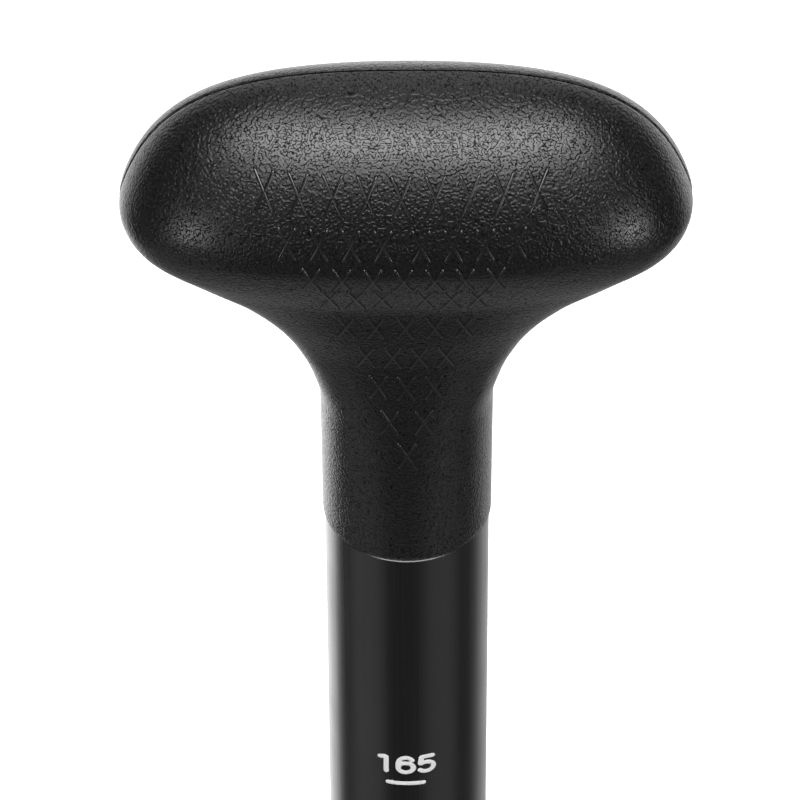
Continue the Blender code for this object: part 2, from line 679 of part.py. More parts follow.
def lever_outline():
    """Outline of the closed lever about its pivot: a cam, then an arm round the collar."""
    pivot = Vector((SCREW_X, PIVOT_Y))
    inner_r = COLLAR_R + LEVER_CLEAR
    cam_middle = (0.0, -CAM_LIFT)
    outline = circle_points(CAM_R, CAM_SIDES, CAM_FROM, CAM_TO, cam_middle, ends=True)
    arm = []
    for i in range(LEVER_ARM_STEPS + 1):
        angle = LEVER_WRAP_FROM + (LEVER_WRAP_TO - LEVER_WRAP_FROM) * i / LEVER_ARM_STEPS
        lift = LEVER_TIP_LIFT * ease((angle - LEVER_LIFT_FROM) / (LEVER_WRAP_TO - LEVER_LIFT_FROM))
        arm.append((angle, inner_r + lift))
    outer_side = [Vector((math.cos(a), math.sin(a))) * (r + LEVER_THICK) for a, r in arm]
    inner_side = [Vector((math.cos(a), math.sin(a))) * r for a, r in arm[::-1]]
    tip_angle = LEVER_WRAP_TO
    tip_middle = Vector((math.cos(tip_angle), math.sin(tip_angle)))
    tip_middle *= inner_r + LEVER_TIP_LIFT + LEVER_THICK / 2
    tip = [Vector(p) for p in circle_points(LEVER_THICK / 2, 6, tip_angle, tip_angle + math.pi,
                                            tip_middle, ends=True)][1:-1]
    return outline + [tuple(p - pivot) for p in outer_side + tip + inner_side]


def make_lever():
    """The cam lever, forked round the screw and bored for the barrel it turns on."""
    pivot = (SCREW_X, PIVOT_Y, CLAMP_MID_Z)
    lever = flat_outline("clamp_lever", [lever_outline()], LEVER_HEIGHT, pivot, LEVER_PIVOT)
    soften(lever, LEVER_EDGE)
    cut(lever, rod_cutter("barrel_bore", BARREL_R + FIT, LEVER_HEIGHT * 2, pivot))
    reach = CAM_R + CAM_LIFT + CUT_PAST
    cut(lever, box_cutter("lever_fork",
                          (SCREW_X - SCREW_R - 3 * FIT, PIVOT_Y - reach, CLAMP_MID_Z - FORK_GAP / 2),
                          (SCREW_X + reach, PIVOT_Y + reach, CLAMP_MID_Z + FORK_GAP / 2)))
    dress(lever, CLAMP_PLASTIC)


# Joint between the middle and lower tubes


def make_ferrules():
    """The two moulded rings that meet at the joint, each lipped over its tube's end."""
    bore = MAIN_TUBE_R + FIT
    outer = bore + FERRULE_WALL
    mouth = MAIN_BORE
    high = FIT / 2 + FERRULE_HEIGHT
    low = FIT / 2
    profile = [(outer - FERRULE_TAPER_DEPTH, high), (outer, high - FERRULE_TAPER_HEIGHT),
               (outer, low + FERRULE_CHAMFER), (outer - FERRULE_CHAMFER, low), (mouth, low),
               (mouth, low + FERRULE_LIP), (bore, low + FERRULE_LIP), (bore, high)]
    turned("middle_ferrule", profile, (0.0, 0.0, JOINT_Z), SLIDE, CLAMP_PLASTIC)
    mirrored = [(radius, -height) for radius, height in profile[::-1]]
    turned("lower_ferrule", mirrored, (0.0, 0.0, JOINT_Z), SLIDE, CLAMP_PLASTIC)


def rivet(name, radius, reach, middle):
    """A through rivet along X whose domed heads close on the outside of its wall."""
    head_r = radius * RIVET_HEAD_SPREAD
    head = radius * RIVET_HEAD_RISE
    seat = reach + FIT
    dome = [(head_r * math.sin(math.pi / 2 * i / 5), seat + head * math.cos(math.pi / 2 * i / 5))
            for i in range(5)]
    upper = [(0.0, seat + head)] + dome[1:] + [(head_r, seat), (radius, seat)]
    lower = [(r, -z) for r, z in upper[::-1]]
    item = turned(name, upper + lower, middle, SLIDE, STEEL, 16, closed=False)
    item.rotation_euler = (0.0, math.pi / 2, 0.0)


def make_joint_spigot():
    """The sleeve that joins the tubes, riveted above the joint, with a bung in its top."""
    outer = MAIN_BORE - FIT
    inner = outer - SPIGOT_WALL
    profile = ring_profile(outer, inner, SPIGOT_UP, -SPIGOT_DOWN, SPIGOT_CHAMFER)
    spigot = turned("joint_spigot", profile, (0.0, 0.0, JOINT_Z), SLIDE, INNER_PLASTIC)
    rivet_place = (0.0, 0.0, JOINT_Z + SPIGOT_RIVET_ABOVE)
    cut(spigot, rod_cutter("spigot_rivet_hole", SPIGOT_RIVET_R + FIT, MAIN_TUBE_R * 3,
                           rivet_place, "X"))
    cut(spigot, rod_cutter("spigot_button_hole", BUTTON_R + FIT, outer,
                           (0.0, -outer, BUTTON_Z), "Y"))
    rivet("spigot_rivet", SPIGOT_RIVET_R, MAIN_TUBE_R, rivet_place)
    plug_r = inner - FIT
    seat = SPIGOT_UP + FIT
    plug = [(0.0, seat + PLUG_HEAD), (outer - CHAMFER, seat + PLUG_HEAD),
            (outer - FINE_CHAMFER, seat), (plug_r, seat), (plug_r, seat - PLUG_DEPTH + CHAMFER),
            (plug_r - CHAMFER, seat - PLUG_DEPTH), (0.0, seat - PLUG_DEPTH)]
    turned("spigot_bung", plug, (0.0, 0.0, JOINT_Z), SLIDE, RUBBER, closed=False)


def button_depth():
    """How far from the axis the button's flange bears on the spigot's round bore."""
    bore = MAIN_BORE - FIT - SPIGOT_WALL
    return math.sqrt((bore - FIT) ** 2 - BUTTON_FLANGE_R ** 2)


def make_button():
    """The snap button, built along -Y from its flange to its rounded nose."""
    seat = button_depth()
    nose = MAIN_TUBE_R + BUTTON_PROUD - seat
    edge = BUTTON_R - BUTTON_FACE_R
    curve = [(BUTTON_FACE_R + edge * math.sin(math.pi / 2 * i / 4),
              nose - edge + edge * math.cos(math.pi / 2 * i / 4)) for i in range(5)]
    profile = [(0.0, nose)] + curve + [(BUTTON_R, 0.0), (BUTTON_FLANGE_R, 0.0),
                                       (BUTTON_FLANGE_R, -BUTTON_FLANGE_THICK),
                                       (0.0, -BUTTON_FLANGE_THICK)]
    button = turned("snap_button", profile, (0.0, -seat, BUTTON_Z), BUTTON_SLIDE, STEEL,
                    SMALL_SIDES, closed=False)
    button.rotation_euler = (math.pi / 2, 0.0, 0.0)


def make_button_spring():
    """The folded leaf spring behind the button, a strip bent along a path in the YZ plane."""
    bore = MAIN_BORE - FIT - SPIGOT_WALL
    half_wide = SPRING_WIDTH / 2
    front_y = -button_depth() + BUTTON_FLANGE_THICK + FIT + SPRING_THICK / 2
    back_y = math.sqrt((bore - FIT) ** 2 - half_wide ** 2) - SPRING_THICK / 2
    bend_y = (front_y + back_y) / 2
    bend_r = SPRING_BEND_R
    top = SPRING_ABOVE_BUTTON
    path = [(front_y, -SPRING_BELOW_BUTTON), (front_y, SPRING_BELOW_BUTTON)]
    path += [(bend_y - bend_r * math.cos(math.pi * i / 6), top + bend_r * math.sin(math.pi * i / 6))
             for i in range(7)]
    path += [(back_y, SPRING_FOOT_RISE), (back_y, SPRING_FOOT_RISE - SPRING_FOOT_LENGTH)]
    bm = bmesh.new()
    rows = [[bm.verts.new((x, y, z)) for x in (-half_wide, half_wide)] for y, z in path]
    for first, second in zip(rows, rows[1:]):
        bm.faces.new((first[0], first[1], second[1], second[0]))
    mesh = bpy.data.meshes.new("button_spring")
    bm.to_mesh(mesh)
    bm.free()
    spring = add_object("button_spring", mesh, PARTS, (0.0, 0.0, BUTTON_Z), SLIDE)
    thicken = spring.modifiers.new("strip", "SOLIDIFY")
    thicken.thickness = SPRING_THICK
    thicken.offset = 0.0
    dress(spring, STEEL)


# Lower section


def blade_half_width(along):
    """Half width of the blade at a distance below the bend."""
    if along <= 0.0:
        return SOCKET_R
    if along < BLADE_WIDEST:
        return SOCKET_R + (BLADE_HALF_WIDTH - SOCKET_R) * between(BLADE_FLARE, along / BLADE_WIDEST)
    share = (along - BLADE_WIDEST) / (BLADE_LENGTH - BLADE_WIDEST)
    return BLADE_HALF_WIDTH * math.sqrt(max(1.0 - share ** BLADE_TIP_POWER, 0.0))


def blade_thickness(along, across, side):
    """Distance from the blade's middle surface to its face, at a share of the half width."""
    roundness = 1.0 - ease(along / NECK_BLEND)
    plate = PLATE_HALF_THICK * math.sqrt(max(1.0 - across ** PLATE_EDGE_POWER, 0.0))
    left = max(1.0 - max(along, 0.0) / SPINE_LENGTH, 0.0)
    height = (SOCKET_R - PLATE_HALF_THICK) * left ** SPINE_FALL_POWER
    if side < 0:
        height *= SPINE_ON_POWER_FACE + (1 - SPINE_ON_POWER_FACE) * roundness
    reach = min(abs(across) * blade_half_width(along) / SPINE_HALF_WIDTH, 1.0)
    spine = height * (1.0 + math.cos(math.pi * reach)) / 2
    tube = SOCKET_R * math.sqrt(max(1.0 - across ** 2, 0.0))
    return roundness * tube + (1.0 - roundness) * (plate + spine)


def blade_path(stations):
    """Points (y, z) and lean of the blade's middle line, leaning smoothly to its rake."""
    places = {}
    y = z = 0.0
    previous = 0.0
    for along in sorted(s for s in stations if s >= 0.0):
        step = (along - previous) / LEAN_STEPS
        for i in range(LEAN_STEPS):
            lean = BLADE_RAKE * ease((previous + step * (i + 0.5)) / NECK_BLEND)
            y += step * math.sin(lean)
            z -= step * math.cos(lean)
        previous = along
        places[along] = (y, z, BLADE_RAKE * ease(along / NECK_BLEND))
    for along in stations:
        if along < 0.0:
            places[along] = (0.0, -along, 0.0)
    return places


def blade_stations():
    """Distances from the bend to each section, closer together towards the tip."""
    socket = [-SOCKET_LENGTH, -SOCKET_LENGTH + SOCKET_LIP, -SOCKET_LENGTH / 2, 0.0]
    body = [BLADE_WIDEST * (i / BLADE_BODY_ROWS) ** BLADE_ROW_POWER
            for i in range(1, BLADE_BODY_ROWS + 1)]
    tip = [BLADE_WIDEST + (BLADE_LENGTH - BLADE_WIDEST) * math.sin(math.pi / 2 * i / BLADE_TIP_ROWS)
           for i in range(1, BLADE_TIP_ROWS + 1)]
    return socket + body + tip


def make_blade():
    """The moulded blade: a socket that opens out through a spine into a thin raked plate."""
    stations = blade_stations()
    path = blade_path(stations)
    bm = bmesh.new()
    rings = []
    for along in stations[:-1]:
        y, z, lean = path[along]
        wide = blade_half_width(along)
        shrink = SOCKET_LIP if along == stations[0] else 0.0
        roundness = 1.0 - ease(along / NECK_BLEND)
        shares = [i / BLADE_COLUMNS for i in range(-BLADE_COLUMNS, BLADE_COLUMNS + 1)]
        across = [roundness * math.sin(math.pi / 2 * s)
                  + (1.0 - roundness) * math.copysign(abs(s) ** BLADE_COLUMN_POWER, s)
                  for s in shares]
        ring = []
        for side, run in ((1, across), (-1, across[-2:0:-1])):
            for u in run:
                thick = side * (blade_thickness(along, u, side) - shrink * (1 - abs(u)))
                ring.append(bm.verts.new((u * (wide - shrink), y + thick * math.cos(lean),
                                          z + thick * math.sin(lean))))
        rings.append(ring)
    count = len(rings[0])
    for low, high in zip(rings, rings[1:]):
        for i in range(count):
            bm.faces.new((low[i], low[(i + 1) % count], high[(i + 1) % count], high[i]))
    bm.faces.new(rings[0])
    y, z, _ = path[stations[-1]]
    tip = bm.verts.new((0.0, y, z))
    for i in range(count):
        bm.faces.new((rings[-1][i], rings[-1][(i + 1) % count], tip))
    bend_z = TIP_Z - z
    blade = add_object("blade", mesh_from(bm, "blade"), PARTS, (0.0, 0.0, bend_z), SLIDE)
    seat_z = bend_z + SOCKET_SEAT
    bore = bend_z + SOCKET_LENGTH + CUT_PAST - seat_z
    cut(blade, rod_cutter("socket_bore", MAIN_TUBE_R + FIT, bore, (0.0, 0.0, seat_z + bore / 2),
                          sides=TUBE_SIDES))
    rivet_place = (0.0, 0.0, bend_z + BLADE_RIVET_ABOVE)
    hole = rod_cutter("blade_rivet_hole", BLADE_RIVET_R + FIT, SOCKET_R * 3, rivet_place, "X")
    cut(blade, hole)
    rivet("blade_rivet", BLADE_RIVET_R, SOCKET_R, rivet_place)
    dress(blade, BLADE_PLASTIC)
    return seat_z, hole


def make_lower_section():
    """The lower tube between the joint and the blade's socket, with its float and hole."""
    seat_z, rivet_hole = make_blade()
    top = JOINT_Z - FIT / 2 - FERRULE_LIP - FIT
    tube = turned("lower_tube", ring_profile(MAIN_TUBE_R, MAIN_BORE, top, seat_z + FIT),
                  (0.0, 0.0, 0.0), SLIDE, BLACK_ALUMINIUM)
    cut(tube, rivet_hole)
    cut(tube, rod_cutter("button_hole", BUTTON_R + FIT, MAIN_TUBE_R,
                         (0.0, -MAIN_TUBE_R, BUTTON_Z), "Y"))
    float_low = seat_z - SOCKET_SEAT + BLADE_RIVET_ABOVE + FLOAT_ABOVE_RIVET
    float_r = MAIN_BORE - FIT
    profile = [(0.0, FLOAT_LENGTH), (float_r - CHAMFER, FLOAT_LENGTH),
               (float_r, FLOAT_LENGTH - CHAMFER), (float_r, CHAMFER),
               (float_r - CHAMFER, 0.0), (0.0, 0.0)]
    turned("float_plug", profile, (0.0, 0.0, float_low), SLIDE, FOAM, closed=False)


for leftover in list(bpy.data.objects):
    bpy.data.objects.remove(leftover)

PARTS = new_collection("stand_up_paddle")
CUTTERS = new_collection("cutters")

GRIP_PLASTIC = finish("grip_plastic", (0.018, 0.018, 0.019), 0.45)
BLACK_ALUMINIUM = finish("black_aluminium", (0.012, 0.012, 0.013), 0.30, 0.6)
CLAMP_PLASTIC = finish("clamp_plastic", (0.022, 0.022, 0.024), 0.50)
INNER_PLASTIC = finish("inner_plastic", (0.060, 0.060, 0.065), 0.55)
BLADE_PLASTIC = finish("blade_plastic", (0.020, 0.020, 0.022), 0.42)
STEEL = finish("stainless_steel", (0.62, 0.62, 0.64), 0.28, 1.0)
RUBBER = finish("rubber", (0.030, 0.030, 0.030), 0.75)
FOAM = finish("closed_cell_foam", (0.82, 0.82, 0.80), 0.90)

PADDLE = add_object("paddle_frame", None, PARTS)
SLIDE = add_object("telescope_slide", None, PARTS, (0.0, 0.0, CLAMP_TOP_Z), PADDLE)
LEVER_PIVOT = add_object("lever_pivot", None, PARTS, (SCREW_X, PIVOT_Y, CLAMP_MID_Z), SLIDE)
BUTTON_SLIDE = add_object("button_slide", None, PARTS, (0.0, -MAIN_TUBE_R, BUTTON_Z), SLIDE)

make_grip()
make_upper_section()
make_middle_tube()
make_clamp_collar()
make_clamp_hardware()
make_lever()
make_ferrules()
make_joint_spigot()
make_button()
make_button_spring()
make_lower_section()
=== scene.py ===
"""Looks of an adjustable stand-up paddle: palm grip, printed shaft, clamp, joint and blade.

Everything is in metres, with +Z up the shaft.  The front, which carries the length scale,
faces -Y, and the blade leans towards +Y.
"""
import sys

import json
import logging
import math
from dataclasses import dataclass, field
from enum import Enum
from functools import partial
from typing import Callable, Iterable, Sequence

import bmesh
import bpy
from bmesh.types import BMesh, BMVert
from bpy.types import Material, Mesh, Node, NodeSocket, Object
from mathutils import Matrix, Vector

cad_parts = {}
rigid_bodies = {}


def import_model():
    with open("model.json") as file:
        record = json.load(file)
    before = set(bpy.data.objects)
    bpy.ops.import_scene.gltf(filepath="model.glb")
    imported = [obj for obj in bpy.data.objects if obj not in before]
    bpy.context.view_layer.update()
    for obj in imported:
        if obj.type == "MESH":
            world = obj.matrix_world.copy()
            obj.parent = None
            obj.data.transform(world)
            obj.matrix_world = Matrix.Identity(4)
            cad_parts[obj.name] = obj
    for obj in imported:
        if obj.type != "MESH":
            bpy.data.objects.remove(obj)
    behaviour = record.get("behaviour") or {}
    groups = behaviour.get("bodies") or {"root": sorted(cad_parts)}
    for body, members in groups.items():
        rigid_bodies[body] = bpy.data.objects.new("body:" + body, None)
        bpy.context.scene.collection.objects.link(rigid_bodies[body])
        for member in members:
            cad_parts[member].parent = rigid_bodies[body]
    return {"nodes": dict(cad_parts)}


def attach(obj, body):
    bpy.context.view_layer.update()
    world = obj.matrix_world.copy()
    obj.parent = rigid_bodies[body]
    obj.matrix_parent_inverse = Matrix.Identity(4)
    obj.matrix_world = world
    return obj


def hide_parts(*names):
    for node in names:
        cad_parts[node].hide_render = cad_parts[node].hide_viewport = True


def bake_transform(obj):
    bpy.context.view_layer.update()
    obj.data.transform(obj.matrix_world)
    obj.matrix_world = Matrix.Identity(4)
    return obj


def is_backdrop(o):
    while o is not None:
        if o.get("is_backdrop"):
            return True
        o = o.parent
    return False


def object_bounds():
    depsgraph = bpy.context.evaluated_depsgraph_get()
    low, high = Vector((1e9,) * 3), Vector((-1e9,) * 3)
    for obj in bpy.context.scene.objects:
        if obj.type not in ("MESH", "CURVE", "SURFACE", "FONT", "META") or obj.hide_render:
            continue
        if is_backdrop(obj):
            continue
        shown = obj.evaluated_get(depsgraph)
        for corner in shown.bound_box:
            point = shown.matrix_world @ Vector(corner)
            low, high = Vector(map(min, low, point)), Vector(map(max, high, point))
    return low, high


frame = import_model()

LOG = logging.getLogger("paddle")

Point = tuple[float, float]
Step = Callable[[Object], None]

# Lengths that several sub-assemblies share: FIT is the clearance between two pieces.
FIT = 0.0003
RIM_Z = -0.020
UPPER_TUBE_R = 0.0130
TUBE_WALL = 0.0012
GROOVE_WIDTH = 0.0040
GROOVE_DEPTH = 0.0009
MAIN_BORE = UPPER_TUBE_R + FIT
MAIN_TUBE_R = MAIN_BORE + TUBE_WALL
SLEEVE_BORE = MAIN_TUBE_R + FIT
CLAMP_TOP_Z = -0.1222
CLAMP_LIP = 0.0035
JOINT_Z = -0.8078

# A quarter turn, the distance at which two points count as one, how far a cutter reaches past
# a piece, the middle range of a noise, and the sides of tubes, of turned pieces and of thin ones.
QUARTER = math.pi / 2
TOUCHING = 0.000001
PAST = 0.002
NOISE_RANGE = (0.3, 0.7)
TUBE_SIDES, ROUND_SIDES, SMALL_SIDES = 128, 64, 48


class Body(Enum):
    """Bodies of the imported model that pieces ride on."""

    UPPER = "upper_section"
    LOWER = "lower_section"
    LEVER = "clamp_lever"
    BUTTON = "snap_button"


class Slot(Enum):
    """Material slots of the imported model."""

    GRIP = "grip_plastic"
    TUBE = "black_aluminium"
    CLAMP = "clamp_plastic"
    INNER = "inner_plastic"
    BLADE = "blade_plastic"
    STEEL = "stainless_steel"
    RUBBER = "rubber"
    FOAM = "closed_cell_foam"


class Side(Enum):
    """The two moulded halves of the grip, by the sign of their depth."""

    FRONT = -1
    BACK = 1


def ease(share: float) -> float:
    """Smooth step from 0 to 1."""
    share = min(max(share, 0.0), 1.0)
    return share * share * (3 - 2 * share)


def arch(height: float, foot: float, crown: float, power: float) -> float:
    """Share of the full width left at a height of an arch.

    Args:
        height: where the width is wanted.
        foot: height at which the arch starts.
        crown: height at which it closes.
        power: roundness; 2 is an ellipse, more is squarer.

    Returns:
        A share from 0 to 1.
    """
    climb = min(max((height - foot) / (crown - foot), 0.0), 1.0)
    return max(1.0 - climb ** power, 0.0) ** (1.0 / power)


def between(rows: Sequence[Point], share: float) -> float:
    """Read a smooth curve at a share.

    Args:
        rows: (share, value) pairs that rise steadily.
        share: where the curve is read.

    Returns:
        The value there, with a level end.
    """
    slopes = [(b[1] - a[1]) / (b[0] - a[0]) for a, b in zip(rows, rows[1:])]
    tangents = [slopes[0]]
    for before, after in zip(slopes, slopes[1:]):
        steady = before * after > 0.0
        tangents.append(2 * before * after / (before + after) if steady else 0.0)
    tangents.append(0.0)
    index = 0
    while index < len(slopes) - 1 and share > rows[index + 1][0]:
        index += 1
    start, end = rows[index], rows[index + 1]
    span = end[0] - start[0]
    t = min(max((share - start[0]) / span, 0.0), 1.0)
    rise = (end[1] - start[1]) * t * t * (3 - 2 * t)
    lead = t * (1 - t) * (1 - t) * span * tangents[index]
    trail = t * t * (t - 1) * span * tangents[index + 1]
    return start[1] + rise + lead + trail


def about(radius: float, angle: float) -> Point:
    """A point at a radius and an angle in degrees."""
    turn = math.radians(angle)
    return radius * math.cos(turn), radius * math.sin(turn)


def arc(radius: float, start: float, end: float, steps: int,
        middle: Point = (0.0, 0.0), squeeze: float = 1.0) -> list[Point]:
    """Points along an arc, both ends included.

    Args:
        radius: radius along the first axis.
        start: first angle in degrees.
        end: last angle in degrees.
        steps: number of straight steps.
        middle: centre of the arc.
        squeeze: second radius as a share of the first.

    Returns:
        The points in order.
    """
    angles = [math.radians(start + (end - start) * i / steps) for i in range(steps + 1)]
    return [(middle[0] + radius * math.cos(a), middle[1] + radius * squeeze * math.sin(a))
            for a in angles]


def rounded(points: Sequence[Point], radius: float, steps: int = 3,
            loop: bool = True) -> list[Point]:
    """Round the corners of an outline.

    Args:
        points: corners in order.
        radius: wanted corner radius.
        steps: straight steps in each corner.
        loop: whether the last point joins the first.

    Returns:
        The outline with its corners replaced by short curves.
    """
    nearly_straight, most_of_leg = math.radians(170), 0.45
    result: list[Point] = []
    for i, corner in enumerate(points):
        if not loop and i in (0, len(points) - 1):
            result.append(corner)
            continue
        here = Vector(corner)
        back = Vector(points[i - 1]) - here
        ahead = Vector(points[(i + 1) % len(points)]) - here
        turn = back.angle(ahead)
        if turn > nearly_straight:
            result.append(corner)
            continue
        reach = min(radius / math.tan(turn / 2), back.length * most_of_leg,
                    ahead.length * most_of_leg)
        first = here + back.normalized() * reach
        last = here + ahead.normalized() * reach
        for k in range(steps + 1):
            t = k / steps
            spot = first * (1 - t) ** 2 + here * 2 * t * (1 - t) + last * t ** 2
            result.append((spot.x, spot.y))
    return result


# Node trees and finishes


class NodeTree:
    """Nodes of one tree, added, set and linked."""

    def __init__(self, tree: bpy.types.NodeTree) -> None:
        """Hold the tree that the nodes go into."""
        self.tree = tree

    def put(self, source: object, target: NodeSocket) -> None:
        """Link a socket to a target, or set the target to a value."""
        if isinstance(source, NodeSocket):
            self.tree.links.new(source, target)
        else:
            target.default_value = source

    def add(self, kind: str, inputs: dict[str | int, object] | None = None,
            **settings: object) -> Node:
        """Add a node.

        Args:
            kind: its type.
            inputs: sockets by name or number, with a socket to link or a value.
            settings: its properties.

        Returns:
            The node.
        """
        node = self.tree.nodes.new(kind)
        for name, value in settings.items():
            setattr(node, name, value)
        for key, value in (inputs or {}).items():
            self.put(value, node.inputs[key])
        return node

    def maths(self, operation: str, *values: object) -> NodeSocket:
        """Combine values, each a socket or a number."""
        return self.add("ShaderNodeMath", dict(enumerate(values)), operation=operation).outputs[0]

    def spread(self, value: NodeSocket, low: float, high: float,
               to_low: float = 0.0, to_high: float = 1.0) -> NodeSocket:
        """Stretch a value from one range to another with soft ends.

        Args:
            value: what is stretched.
            low: value that becomes to_low.
            high: value that becomes to_high.
            to_low: result at the low end.
            to_high: result at the high end.

        Returns:
            The stretched value.
        """
        return self.add("ShaderNodeMapRange", {
            "Value": value, "From Min": low, "From Max": high, "To Min": to_low,
            "To Max": to_high}, interpolation_type="SMOOTHSTEP").outputs["Result"]


class Recipe(NodeTree):
    """The nodes of one material, read in Object coordinates."""

    def __init__(self, name: str) -> None:
        """Start a material with its surface shader and its coordinates."""
        self.material = bpy.data.materials.new(name)
        self.material.use_nodes = True
        super().__init__(self.material.node_tree)
        self.shader = self.tree.nodes["Principled BSDF"]
        self.place = self.add("ShaderNodeTexCoord").outputs["Object"]

    def surface(self, values: dict[str, object]) -> None:
        """Set or link the surface shader's own sockets by name."""
        for name, value in values.items():
            self.put(value, self.shader.inputs[name])

    def stretched(self, along: float) -> NodeSocket:
        """Coordinates in which a pattern is drawn out along Z by a factor."""
        return self.add("ShaderNodeMapping", {
            "Vector": self.place, "Scale": (1.0, 1.0, 1.0 / along)}).outputs["Vector"]

    def noise(self, size: float, detail: float = 2.0, bend: float = 0.0,
              place: NodeSocket | None = None) -> NodeSocket:
        """Soft noise.

        Args:
            size: size of its features in metres.
            detail: how many finer layers it has.
            bend: how far the pattern folds over itself.
            place: coordinates, or None for the piece's own.

        Returns:
            A value from about 0 to 1.
        """
        return self.add("ShaderNodeTexNoise", {
            "Vector": place or self.place, "Scale": 1.0 / size, "Detail": detail,
            "Distortion": bend}).outputs["Fac"]

    def cell_joints(self, size: float) -> NodeSocket:
        """Distance to the nearest joint of a cell pattern of a size in metres."""
        return self.add("ShaderNodeTexVoronoi", {"Vector": self.place, "Scale": 1.0 / size},
                        feature="DISTANCE_TO_EDGE").outputs["Distance"]

    def ridges(self, value: NodeSocket, width: float) -> NodeSocket:
        """Worm-like lines where a noise crosses its middle value."""
        distance = self.maths("ABSOLUTE", self.maths("SUBTRACT", value, 0.5))
        return self.spread(distance, 0.0, width, 1.0, 0.0)

    def weighed(self, first: NodeSocket, first_weight: float,
                second: NodeSocket, second_weight: float) -> NodeSocket:
        """Add two values, each times its weight."""
        return self.maths("ADD", self.maths("MULTIPLY", first, first_weight),
                          self.maths("MULTIPLY", second, second_weight))

    def tint(self, share: NodeSocket, first: Iterable[float], second: Iterable[float]) -> None:
        """Colour the piece from a first to a second colour by a share."""
        mix = self.add("ShaderNodeMix", {
            "Factor": share, "A": (*first, 1.0), "B": (*second, 1.0)}, data_type="RGBA")
        self.surface({"Base Color": mix.outputs["Result"]})

    def relief(self, height: NodeSocket, depth: float) -> None:
        """Raise the surface by a height of up to a depth in metres."""
        bump = self.add("ShaderNodeBump", {"Strength": 1.0, "Distance": depth, "Height": height})
        self.surface({"Normal": bump.outputs["Normal"]})


@dataclass(frozen=True)
class Finish:
    """What every surface has: its slot, its colour, its gloss and its metal share.

    The roughness wanders below and above its value by the two lengths of wander.  The colour
    goes from a first to a second of its shades, over the range of a noise in shade_range.
    """

    name: str
    slot: Slot
    colour: tuple[float, float, float]
    roughness: float
    metallic: float = 0.0
    wander: Point = (0.0, 0.0)
    shades: Point = (1.0, 1.0)
    shade_range: Point = NOISE_RANGE

    def material(self) -> Material:
        """The material, built once and then shared."""
        made = bpy.data.materials.get(self.name)
        if made is None:
            recipe = Recipe(self.name)
            recipe.surface({"Metallic": self.metallic, "Roughness": self.roughness})
            recipe.material.diffuse_color = (*self.colour, 1.0)
            self.paint(recipe)
            made = recipe.material
        return made

    def paint(self, recipe: Recipe) -> None:
        """Give the recipe its colour, gloss and relief, which each finish does in its own way."""
        raise NotImplementedError

    def tint(self, recipe: Recipe, share: NodeSocket) -> None:
        """Colour the piece from its first to its second shade by a share."""
        first, second = self.shades
        recipe.tint(share, [value * first for value in self.colour],
                    [value * second for value in self.colour])

    def gloss(self, recipe: Recipe, noise: NodeSocket) -> None:
        """Let the roughness wander with a noise."""
        less, more = self.wander
        recipe.surface({"Roughness": recipe.spread(
            noise, *NOISE_RANGE, self.roughness - less, self.roughness + more)})

    def clouds(self, recipe: Recipe, noise: NodeSocket) -> None:
        """Let the roughness and the colour wander with a noise."""
        self.gloss(recipe, noise)
        self.tint(recipe, recipe.spread(noise, *self.shade_range))


@dataclass(frozen=True)
class GrainedPlastic(Finish):
    """Moulded plastic with a leather-like, worm-lined grain, with painted shade along its grooves.
    """

    # The second shade darkens the colour along the grooves: painted shade in the grain's hollows.
    shades: Point = (1.0, 0.7)
    grain: float = 0.00045
    depth: float = 0.000048
    swell_range: Point = (0.38, 0.62)
    fine_size: float = 0.5
    fine_share: float = 0.3
    groove_width: float = 0.08
    shine: Point = (0.74, 0.10)

    def paint(self, recipe: Recipe) -> None:
        """Meandering grooves in the relief and the gloss, and painted shade that darkens the colour
        along them.
        """
        swell = recipe.noise(self.grain, detail=0.0)
        grooves_with_painted_shade = recipe.ridges(swell, self.groove_width)
        fine = recipe.noise(self.grain * self.fine_size, detail=1.0)
        recipe.relief(recipe.maths("ADD", recipe.maths("MULTIPLY", fine, self.fine_share),
                                   recipe.spread(swell, *self.swell_range)), self.depth)
        recipe.surface({"Specular IOR Level": recipe.spread(grooves_with_painted_shade, 0.0, 1.0, *self.shine)})
        # Painted shade: the colour is darker along the grooves, as if shaded in the hollows.
        self.tint(recipe, grooves_with_painted_shade)


@dataclass(frozen=True)
class AnodisedTube(Finish):
    """Drawn aluminium with a satin anodised skin."""

    wander: Point = (0.04, 0.04)
    shades: Point = (0.8, 1.25)
    shine: float = 1.0
    line: float = 0.0004
    drawn_out: float = 180.0
    cloud: float = 0.012
    line_share: float = 0.6
    cloud_share: float = 0.4
    depth: float = 0.0000015

    def paint(self, recipe: Recipe) -> None:
        """Faint drawing lines along the tube and a cloudy gloss."""
        recipe.surface({"Specular IOR Level": self.shine})
        lines = recipe.noise(self.line, detail=3.0, place=recipe.stretched(self.drawn_out))
        self.gloss(recipe, recipe.weighed(lines, self.line_share, recipe.noise(self.cloud),
                                          self.cloud_share))
        self.tint(recipe, recipe.spread(lines, *self.shade_range))
        recipe.relief(lines, self.depth)


@dataclass(frozen=True)
class SparkedPlastic(Finish):
    """Moulded plastic with the even, sandy skin of a spark-eroded mould."""

    wander: Point = (0.05, 0.06)
    shades: Point = (0.8, 1.25)
    grain: float = 0.00032
    depth: float = 0.000018
    shine: float = 0.5
    flow: float = 0.009
    flow_bend: float = 0.6

    def paint(self, recipe: Recipe) -> None:
        """Fine pits, soft flow clouds and a slightly uneven gloss."""
        recipe.surface({"Specular IOR Level": self.shine})
        recipe.relief(recipe.noise(self.grain), self.depth)
        self.clouds(recipe, recipe.noise(self.flow, 3.0, self.flow_bend))


